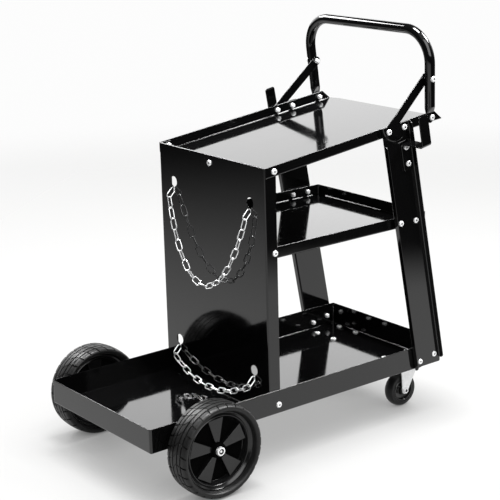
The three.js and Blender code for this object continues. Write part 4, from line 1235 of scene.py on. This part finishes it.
def rim(boss, sizes):
    """A rim about Z: a ring with two lips and fan spokes that stand out on both sides."""
    lip, pocket, face = sizes.lip_radius, sizes.pocket_radius, sizes.lip_reach
    half_ring = [(lip - inwards * MM, face - back * MM) for inwards, back in RIM_LIPS_MM]
    half_ring += [(pocket + 1.2 * MM, face - 13.0 * MM), (pocket, face - 14.6 * MM)]
    shape = Shape().add(lathe(mirrored(half_ring), 2 * TURN_STEPS, closed=True))
    root, end = sizes.hub / 2 + 0.4 * MM, pocket + 0.8 * MM
    corner = 0.8 * MM
    fan = rounded([
        (root, -sizes.spoke_inner / 2, 0), (end, -sizes.spoke_outer / 2, corner),
        (end, sizes.spoke_outer / 2, corner), (root, sizes.spoke_inner / 2, 0),
    ])
    edge = 1.0 * MM
    top = boss - edge
    for k in range(sizes.spokes):
        shape.add(prism(fan, -top, top, edge), Matrix.Rotation(math.tau * k / sizes.spokes, 4, "Z"))
    return shape


def pocket_disc(bore, boss, sizes):
    """The dished disc between a rim's spokes, with the hub and its collar round the nut, about Z."""
    outer, hub = sizes.pocket_radius + 1 * MM, sizes.hub / 2
    mouth, top = sizes.axle_nut / 2 + 0.8 * MM, boss + sizes.collar
    collar = [(mouth, boss), (mouth, top - 0.5 * MM), (mouth + 0.5 * MM, top)]
    collar += [(hub - 0.8 * MM, top), (hub, top - 0.8 * MM)]
    plain = [(hub - 2.0 * MM, boss), (hub - 0.6 * MM, boss - 0.6 * MM)]
    web = [(hub, boss - 1.8 * MM), (hub + 1.4 * MM, 1.5 * MM)]
    web += [(outer - 6 * MM, 1.5 * MM), (outer, 2.4 * MM)]
    back = [(bore, boss)] + plain + web
    return lathe([(bore, boss)] + collar + web + [(r, -h) for r, h in reversed(back)], closed=True)


def axle_nut(radius, height):
    """A hexagon nut with a round shoulder, about Z from 0, with the axle's end in its bore, which is painted dark
    as shade.
    """
    bore, end = radius * 0.54, radius * 0.28
    mouth, tip = (bore * 1.1, height), (end, height - 1.2 * MM)
    floor = height - 3 * MM
    shell = [
        (0, 0), (radius * 0.92, 0), (radius, 0.5 * MM, 6), (radius, height - 1.6 * MM, 6),
        (radius * 0.9, height - 0.4 * MM), (radius * 0.8, height), mouth,
    ]
    gap = [mouth, (bore, height - 0.8 * MM), (bore, floor), (end, floor), tip]
    rod = [tip, (end * 0.8, height - 0.7 * MM), (0, height - 0.6 * MM)]
    # The bore's walls and floor take the second finish, painted shade.
    return Shape().add(lathe(shell)).add(lathe(gap), finish=1).add(lathe(rod))


def yoke(cheek, hole, ends, box, sheet, edge, holes=()):
    """A folded yoke: two cheeks pierced by an axle, and a plate between their tops."""
    low, high = box
    shape = Shape()
    for y in (low.y + sheet, high.y):
        shape.add(prism(cheek, 0, sheet, edge, [hole]), facing(Vector((0, y, 0)), X_AXIS, Z_AXIS))
    plate = rectangle(ends[0], low.y + sheet, ends[1], high.y - sheet, 1 * MM)
    return shape.add(prism(plate, high.z - sheet, high.z, 0.4 * MM, holes))


class CART_OT_wheels(bpy.types.Operator):
    """Makes the fixed wheels, their nuts and bushes, and the axle with its spacers and brackets."""

    bl_idname = "cart.wheels"
    bl_label = "Fixed wheels"

    def execute(self, context):
        sizes = context.scene.welding_cart.wheels
        clearance = 0.3 * MM
        for side, sign in SIDES:
            body = f"wheel_{side}"
            centre = joint_place(f"wheel_{side}_spin")
            low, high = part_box(f"wheel_tyre_{side}")
            radius = (high.z - low.z) / 2
            place = Matrix.Translation(centre) @ across(sign)
            upwards = place @ Matrix.Rotation(-sign * (math.pi / 2 + sizes.spoke_turn), 4, "Z")
            made = Shape().add(tyre(radius, high.y - low.y, sizes), place)
            painted(f"wheel_{side}_tread", made, "tyre", body, f"wheel_tyre_{side}")
            low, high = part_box(f"wheel_bush_{side}")
            bore, boss = (high.x - low.x) / 2 + clearance, (high.y - low.y) / 2
            moulded = rim(boss, sizes).moved(upwards)
            painted(f"wheel_{side}_spokes", moulded, "plastic", body, f"wheel_rim_{side}")
            disc = Shape().add(pocket_disc(bore, boss, sizes), upwards)
            # The disc, hub and collar are in painted shade: a darker, duller copy of the rim plastic.
            piece(f"wheel_{side}_disc", disc, ["pocket"], body, "plastic")
            self.round_piece(f"wheel_{side}_bearing", f"wheel_bush_{side}", "steel", body, AXLE_BORE)
            near, far = from_middle(f"axle_nut_{side}")
            cap = axle_nut(sizes.axle_nut / 2, far - near)
            set_bolt(f"axle_cap_nut_{side}", cap, outwards(centre, sign, near), f"axle_nut_{side}")
            self.round_piece(f"axle_tube_{side}", f"axle_spacer_{side}", "zinc", "cart", AXLE_BORE)
            self.bracket(side)
        self.round_piece("axle_rod", "axle", "zinc", "cart", 0)
        return {"FINISHED"}

    def round_piece(self, name, node, slot, body, bore):
        """A plain rod or tube across the cart with chamfered ends, from its node's box."""
        low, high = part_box(node)
        radius, half = (high.x - low.x) / 2, (high.y - low.y) / 2
        chamfer = 0.6 * MM
        profile = mirrored([(bore, half), (radius - chamfer, half), (radius, half - chamfer)])
        place = Matrix.Translation(middle(node)) @ across(1)
        painted(name, Shape().add(lathe(profile, closed=bore > 0), place), slot, body, node)

    def bracket(self, side):
        """A folded bracket under the tray, its two cheeks pierced by the axle."""
        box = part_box(f"axle_bracket_{side}")
        (left, _, _), (right, _, top) = box
        joint = joint_place(f"wheel_{side}_spin")
        centre = (joint.x, joint.z)
        sheet, eye, edge = 2 * MM, 10 * MM, 0.4 * MM
        cheek = [Vector((left, top))] + arc(centre, eye, 180, 360, steps=20) + [Vector((right, top))]
        shape = yoke(cheek, round_hole(centre, AXLE_BORE), (left, right), box, sheet, edge)
        painted(f"axle_bracket_{side}_fold", shape, "paint", "cart", f"axle_bracket_{side}")


# Casters


def caster_tyre(radius, width, seat):
    """A caster's rounded tyre about Z."""
    half = width / 2
    reach, steps = 62, 16
    crown = [math.radians(-reach + 2 * reach * k / steps) for k in range(steps + 1)]
    bulge = half * 0.92
    drop, wide = bulge * 0.62, math.sin(math.radians(reach))
    tread = [(radius - drop * (1 - math.cos(a)), bulge * math.sin(a) / wide) for a in crown]
    side = [(seat, half - 0.4 * MM), (seat + 1.2 * MM, half), (seat + 2.4 * MM, half - 0.8 * MM)]
    loop = [(r, -h) for r, h in side] + tread + list(reversed(side))
    return lathe(loop, 2 * TURN_STEPS, closed=True)


def caster_core(outer, width, hub_width, bore):
    """A caster's core about Z: a rim, a dished web and a hub."""
    half, hub_half = width / 2, hub_width / 2
    side = [(bore, hub_half), (8.5 * MM, hub_half), (9.5 * MM, hub_half - 1.0 * MM)]
    side += [(10.5 * MM, half - 5 * MM), (12.0 * MM, half - 6.0 * MM)]
    side += [(outer - 6.0 * MM, half - 5.0 * MM), (outer - 4.4 * MM, half - 4.0 * MM)]
    side += [(outer - 3.6 * MM, half - 0.6 * MM), (outer - 3.0 * MM, half)]
    side += [(outer - 0.8 * MM, half), (outer, half - 0.8 * MM)]
    return lathe(mirrored(side), closed=True)


class CART_OT_casters(bpy.types.Operator):
    """Makes the swivel casters with their plates, forks, axles and wheels."""

    bl_idname = "cart.casters"
    bl_label = "Casters"

    def execute(self, context):
        settings = context.scene.welding_cart
        for side, _ in SIDES:
            self.plate(side, settings)
            self.king_pin(side)
            self.fork(side, settings.wheels)
            self.axle_bolt(side)
            self.wheel(side)
        return {"FINISHED"}

    def plate(self, side, settings):
        """The plate under the tray, with a bolt near each corner."""
        node = f"caster_plate_{side}"
        low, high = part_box(node)
        outline = rectangle(low.x, low.y, high.x, high.y, 8 * MM, 8)
        shape = Shape().add(prism(outline, low.z, high.z, 0.6 * MM))
        painted(f"caster_{side}_plate", shape, "zinc", "cart", node)
        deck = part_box("base_tray")[0].z + settings.sheets.sheet
        centre = middle(node)
        along, aside = 32 * MM, 26.5 * MM
        for k, (a, b) in enumerate(((-1, -1), (1, -1), (1, 1), (-1, 1))):
            at = Vector((centre.x + a * along, centre.y + b * aside, deck))
            made = bolt(deck - low.z, settings.bolts)
            set_bolt(f"caster_plate_bolt_{k + 1}_{side}", made, Matrix.Translation(at))

    def king_pin(self, side):
        """The ball race above the fork, the pin through it and its riveted end."""
        node = f"caster_king_pin_{side}"
        low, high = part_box(node)
        centre = joint_place(f"caster_{side}_swivel")
        race = (high.x - low.x) / 2
        top, bottom = high.z, low.z
        profile = [
            (0, top), (race - 2 * MM, top), (race - 0.6 * MM, top - 0.4 * MM), (race, top - 1.6 * MM),
            (race - 0.4 * MM, top - 3.2 * MM), (race - 2 * MM, top - 4.0 * MM), (5 * MM, top - 4.0 * MM),
            (5 * MM, bottom + 4.0 * MM), (8 * MM, bottom + 4.0 * MM), (8 * MM, bottom + 2.6 * MM),
            (6.4 * MM, bottom + 0.8 * MM), (3 * MM, bottom), (0, bottom),
        ]
        place = Matrix.Translation((centre.x, centre.y, 0))
        painted(f"caster_{side}_race", Shape().add(lathe(profile), place), "zinc", "cart", node)

    def fork(self, side, sizes):
        """The fork: a top on the king pin and two tapered legs."""
        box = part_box(f"caster_fork_{side}")
        top = box[1].z
        pin = joint_place(f"caster_{side}_swivel")
        axle = joint_place(f"caster_wheel_{side}_spin")
        sheet, eye = sizes.fork_sheet, sizes.fork_eye / 2
        half = box[1].x - pin.x
        left, right = pin.x - half, pin.x + half
        shoulder = top - 2 * sheet
        bend, edge = 2 * MM, 0.6 * MM
        leg = arc((right - bend, top - bend), bend, 0, 90) + arc((left + bend, top - bend), bend, 90, 180)
        leg += [Vector((left, shoulder))] + arc((axle.x, axle.z), eye, 180, 326, steps=20)
        leg += [Vector((right, shoulder))]
        hole = round_hole((axle.x, axle.z), CASTER_BORE)
        pin_hole = round_hole((pin.x, pin.y), AXLE_BORE)
        shape = yoke(leg, hole, (left, right), box, sheet, edge, [pin_hole])
        painted(f"caster_{side}_fork_sheet", shape, "zinc", f"caster_{side}", f"caster_fork_{side}")

    def axle_bolt(self, side):
        """The bolt that a caster's wheel turns on, with a hollow in each end that is painted dark as shade."""
        node = f"caster_axle_{side}"
        low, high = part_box(node)
        reach, head = (high.y - low.y) / 2, (high.z - low.z) / 2
        hollow, shank, seat = 3 * MM, 4 * MM, reach - 3 * MM
        half_bolt = [(hollow, reach), (head * 0.8, reach)]
        half_bolt += [(head, reach - 0.8 * MM, 6), (head, seat, 6), (shank, seat)]
        place = Matrix.Translation(joint_place(f"caster_wheel_{side}_spin")) @ across(1)
        made = Shape().add(lathe(mirrored(half_bolt)), place)
        for end in (reach, -reach):
            bottom = end * (1 - 2 * MM / reach)
            # Each hollow takes the second finish, painted shade.
            made.add(lathe([(0, bottom), (hollow, bottom), (hollow, end)]), place, finish=1)
        piece(f"caster_{side}_axle_bolt", made, BOLT_AND_SHADE_FINISHES, f"caster_{side}", "zinc", node)

    def wheel(self, side):
        """The caster's wheel: a tyre on a core."""
        axle = joint_place(f"caster_wheel_{side}_spin")
        place = Matrix.Translation(axle) @ across(1)
        body = f"caster_wheel_{side}"
        low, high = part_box(f"caster_tyre_{side}")
        core_low, core_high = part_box(f"caster_core_{side}")
        seat = (core_high.z - core_low.z) / 2
        clearance = 0.3 * MM
        tread = caster_tyre((high.z - low.z) / 2, high.y - low.y, seat + clearance)
        made = Shape().add(tread, place)
        painted(f"caster_{side}_tread", made, "caster_tyre", body, f"caster_tyre_{side}")
        core = caster_core(seat, high.y - low.y, core_high.y - core_low.y, CASTER_BORE)
        made = Shape().add(core, place)
        painted(f"caster_{side}_wheel_core", made, "plastic", body, f"caster_core_{side}")


# Chains


def chain_link(sizes, inner_length):
    """A link of round wire along X, lying in the XY plane."""
    radius = (sizes.inner_width + sizes.wire) / 2
    straight = (inner_length + sizes.wire) / 2 - radius
    bows = arc((straight, 0), radius, -90, 90, steps=12) + arc((-straight, 0), radius, 90, 270, steps=12)
    path = [Vector((p.x, p.y, 0)) for p in bows]
    turns = [math.tau * k / WIRE_STEPS for k in range(WIRE_STEPS)]
    ring = [(sizes.wire / 2 * math.cos(a), sizes.wire / 2 * math.sin(a)) for a in turns]
    return sweep(path, Z_AXIS, [ring] * len(path), closed=True)


def hang(sag, span, radius, sizes):
    """A hanging chain's curve: its shape value, half its length and its ends' depth below the hinge line."""
    hooked = sizes.wire + sizes.clearance
    reach = span / 2
    shape = reach
    slope = 0.0
    for _ in range(HANG_ROUNDS):
        shape = reach / math.acosh(1 + sag / shape)
        slope = math.sinh(reach / shape)
        reach = span / 2 + hooked / math.hypot(1, slope)
    return shape, shape * slope, radius - hooked * slope / math.hypot(1, slope)


def chain(sag, span, sizes):
    """A chain below its hinge line: an odd number of links, each turned a quarter from the last."""
    radius = (sizes.inner_width + sizes.wire) / 2
    shape_value, half, depth = hang(sag, span, radius, sizes)
    crown = shape_value + sag + depth
    slack = 0.7 * MM
    run = 2 * half - (sizes.wire - slack)
    links = 2 * round((run / sizes.pitch - 1) / 2) + 1
    pitch = run / links
    twist_links = 3
    shape = Shape()
    for k in range(links):
        s = (k - (links - 1) / 2) * pitch
        y = shape_value * math.asinh(s / shape_value)
        z = shape_value * math.cosh(y / shape_value) - crown
        along = Vector((0, shape_value, s)).normalized()
        turn = sizes.twist * min(1.0, min(k, links - 1 - k) / twist_links)
        width = Matrix.Rotation(turn, 3, along) @ (X_AXIS.cross(along) if k % 2 == 0 else X_AXIS)
        shape.add(chain_link(sizes, sizes.inner_length), facing(Vector((0, y, z)), along, width))
    return shape


class CART_OT_chains(bpy.types.Operator):
    """Hangs the bottle chains on their anchor links."""

    bl_idname = "cart.chains"
    bl_label = "Bottle chains"

    def execute(self, context):
        sizes = context.scene.welding_cart.chains
        levels = (("upper", sizes.upper_sag, sizes.upper_tilt), ("lower", sizes.lower_sag, sizes.lower_tilt))
        for level, sag, tilt in levels:
            name = f"{level}_chain"
            anchors = [f"{name}_anchor_{side}" for side, _ in SIDES]
            lift = Matrix.Rotation(-sizes.anchor_tilt, 4, "Y")
            for node in anchors:
                place = Matrix.Translation(middle(node)) @ lift @ facing(Vector(), X_AXIS, Z_AXIS)
                made = Shape().add(chain_link(sizes, sizes.anchor_length), place)
                piece(f"{node}_link", made, ["chain"], "cart", "zinc", node)
            place = Matrix.Translation(joint_place(f"{name}_swing")) @ Matrix.Rotation(tilt, 4, "Y")
            made = chain(sag, middle(anchors[1]).y - middle(anchors[0]).y, sizes).moved(place)
            piece(f"{name}_links", made, ["chain"], name, "zinc", name)
        return {"FINISHED"}


# Stage


# Where the studio's bright wall and its sky start and end, as parts of a direction of length 1
WALL_SIDES = (0.25, 0.75)
WALL_FOOT = (0.02, 0.12)
WALL_TOP = (0.42, 0.52)
SKY_SIDE = (-0.2, 0.1)
SKY_FOOT = (0.5, 0.62)


def studio_light(stage):
    """A white studio: the camera sees white all round, the cart one bright wall, a sky and soft boxes."""
    world = bpy.data.worlds.new("Studio")
    world.use_nodes = True
    tree = world.node_tree
    nodes, links = tree.nodes, tree.links
    direction = nodes.new("ShaderNodeTexCoord").outputs["Generated"]
    split = nodes.new("ShaderNodeSeparateXYZ")
    links.new(direction, split.inputs["Vector"])
    aside, height = split.outputs["Y"], split.outputs["Z"]
    behind = measured(tree, "DOT_PRODUCT", direction, (-math.sin(stage.azimuth), math.cos(stage.azimuth), 0))

    def ramp(source, reach, low, high):
        return mapped(tree, source, *reach, low, high, "SMOOTHSTEP")

    wall = ramp(behind, WALL_SIDES, 0, stage.backdrop)
    wall = combined(tree, "MULTIPLY", wall, ramp(height, WALL_FOOT, 0, 1))
    wall = combined(tree, "MULTIPLY", wall, ramp(height, WALL_TOP, 1, 0))
    sky = combined(tree, "MULTIPLY", ramp(aside, SKY_SIDE, stage.sky, 0), ramp(height, SKY_FOOT, 0, 1))
    bright = nodes.new("ShaderNodeMath")
    bright.inputs[1].default_value = stage.dim
    links.new(sky, bright.inputs[0])
    seen = nodes.new("ShaderNodeMix")
    seen.inputs["B"].default_value = WHITE
    links.new(nodes.new("ShaderNodeLightPath").outputs["Is Camera Ray"], seen.inputs["Factor"])
    links.new(combined(tree, "ADD", wall, bright.outputs["Value"]), seen.inputs["A"])
    links.new(seen.outputs["Result"], nodes["Background"].inputs["Strength"])
    nodes["Background"].inputs["Color"].default_value = (1, 1, 1, 1)
    bpy.context.scene.world = world
    soft_box("Overhead box", Z_AXIS, stage.overhead, stage.box_size, stage)
    for name, turn, rise, power, size in (
        ("Right box", stage.right_turn, stage.right_rise, stage.right, stage.box_size),
        ("Left box", stage.left_turn, stage.left_rise, stage.left, stage.box_size),
        ("Front box", stage.front_turn, stage.front_rise, stage.front, stage.front_size),
    ):
        soft_box(name, bearing(stage.azimuth + turn, rise), power, size, stage)


def bearing(turn, rise):
    """The direction at a turn from straight in front of the cart's left side, and a height above level."""
    return Vector((math.sin(turn) * math.cos(rise), -math.cos(turn) * math.cos(rise), math.sin(rise)))


def soft_box(name, direction, power, size, stage):
    """A square light that shines on the cart from a direction."""
    box = bpy.data.lights.new(name, "AREA")
    box.size = size
    box.energy = power
    lamp = bpy.data.objects.new(name, box)
    lamp.location = Vector(stage.target) + direction * stage.box_reach
    lamp.rotation_euler = direction.to_track_quat("Z", "Y").to_euler()
    lamp.visible_camera = False
    bpy.context.scene.collection.objects.link(lamp)


def studio_floor(colour, stage):
    """A pale floor that fades out with distance, so that the cart's sides reflect only what is near."""
    mesh = bpy.data.meshes.new("Studio floor")
    turns = [math.tau * k / FLOOR_STEPS for k in range(FLOOR_STEPS)]
    edge = [Vector((math.cos(a), math.sin(a), 0)) * stage.floor_reach for a in turns]
    mesh.from_pydata(edge, [], [tuple(range(FLOOR_STEPS))])
    pale = Finish("Pale floor", colour, 0.9)
    pale.tint(3, 0.99, 1.01)
    pale.shader.inputs["Emission Color"].default_value = (1, 1, 0.995, 1)
    shade = pale.nodes.new("ShaderNodeAmbientOcclusion")
    shade.inputs["Distance"].default_value = stage.shade_reach
    glow = mapped(pale.tree, shade.outputs["AO"], 0, 1, stage.shade_glow, stage.floor_glow)
    pale.links.new(glow, pale.shader.inputs["Emission Strength"])
    before_panel = (math.sin(stage.azimuth), math.cos(stage.azimuth), 0)

    def fade(operation, start, end):
        """How far the floor has faded, by its distance from the middle or along the panel's reflection."""
        reach = measured(pale.tree, operation, pale.space, before_panel)
        return mapped(pale.tree, reach, start, end, 0, 1, "SMOOTHSTEP")

    front = fade("DOT_PRODUCT", stage.front_start, stage.front_end)
    near = fade("DOT_PRODUCT", -stage.near_start, -stage.near_end)
    sides = fade("LENGTH", stage.floor_whole, stage.floor_reach)
    faded = combined(pale.tree, "MAXIMUM", combined(pale.tree, "MAXIMUM", front, near), sides)
    through = pale.nodes.new("ShaderNodeMixShader")
    pale.links.new(faded, through.inputs["Fac"])
    pale.links.new(pale.shader.outputs["BSDF"], through.inputs[1])
    pale.links.new(pale.nodes.new("ShaderNodeBsdfTransparent").outputs["BSDF"], through.inputs[2])
    pale.links.new(through.outputs["Shader"], pale.nodes["Material Output"].inputs["Surface"])
    mesh.materials.append(pale.material)
    floor = bpy.data.objects.new("Studio floor", mesh)
    bpy.context.scene.collection.objects.link(floor)


def studio_camera(stage):
    """The camera at the photograph's angle."""
    data = bpy.data.cameras.new("Camera")
    data.sensor_width = SENSOR_MM
    data.lens = stage.lens
    data.shift_x = stage.shift_x
    data.shift_y = stage.shift_y
    camera = bpy.data.objects.new("Camera", data)
    back = bearing(stage.azimuth, stage.elevation)
    right = Z_AXIS.cross(back).normalized()
    up = back.cross(right)
    turned = Matrix((right, up, back)).transposed().to_4x4() @ Matrix.Rotation(stage.roll, 4, "Z")
    camera.matrix_world = Matrix.Translation(Vector(stage.target) + back * stage.distance) @ turned
    bpy.context.scene.collection.objects.link(camera)
    bpy.context.scene.camera = camera


class CART_OT_stage(bpy.types.Operator):
    """Sets up the camera, the floor and the studio light."""

    bl_idname = "cart.stage"
    bl_label = "Stage"

    def execute(self, context):
        settings = context.scene.welding_cart
        studio_camera(settings.stage)
        studio_floor(settings.finishes.floor, settings.stage)
        studio_light(settings.stage)
        context.scene.view_settings.view_transform = "Standard"
        return {"FINISHED"}


class CART_PT_panel(bpy.types.Panel):
    """Lists the steps that build the cart."""

    bl_idname = "CART_PT_panel"
    bl_label = "Welding cart"
    bl_space_type = "VIEW_3D"
    bl_region_type = "UI"
    bl_category = "Cart"

    def draw(self, context):
        for step in STEPS:
            self.layout.operator(step.bl_idname)


SETTINGS = (
    CartSheets, CartFrame, CartBolts, CartWheels, CartChains, CartFinishes, CartStage, CartSettings,
)
STEPS = (
    CART_OT_stage, CART_OT_trays, CART_OT_panel, CART_OT_top_tray, CART_OT_uprights, CART_OT_handle,
    CART_OT_hooks, CART_OT_bolts, CART_OT_wheels, CART_OT_casters, CART_OT_chains,
)


def register():
    for made in (*SETTINGS, *STEPS, CART_PT_panel):
        bpy.utils.register_class(made)
    bpy.types.Scene.welding_cart = bpy.props.PointerProperty(type=CartSettings)


def unregister():
    del bpy.types.Scene.welding_cart
    for made in (CART_PT_panel, *reversed(STEPS), *reversed(SETTINGS)):
        bpy.utils.unregister_class(made)


def main():
    register()
    bpy.ops.cart.stage()
    bpy.ops.cart.trays()
    bpy.ops.cart.panel()
    bpy.ops.cart.top_tray()
    bpy.ops.cart.uprights()
    bpy.ops.cart.handle()
    bpy.ops.cart.hooks()
    bpy.ops.cart.bolts()
    bpy.ops.cart.wheels()
    bpy.ops.cart.casters()
    bpy.ops.cart.chains()


if __name__ == "__main__":
    main()
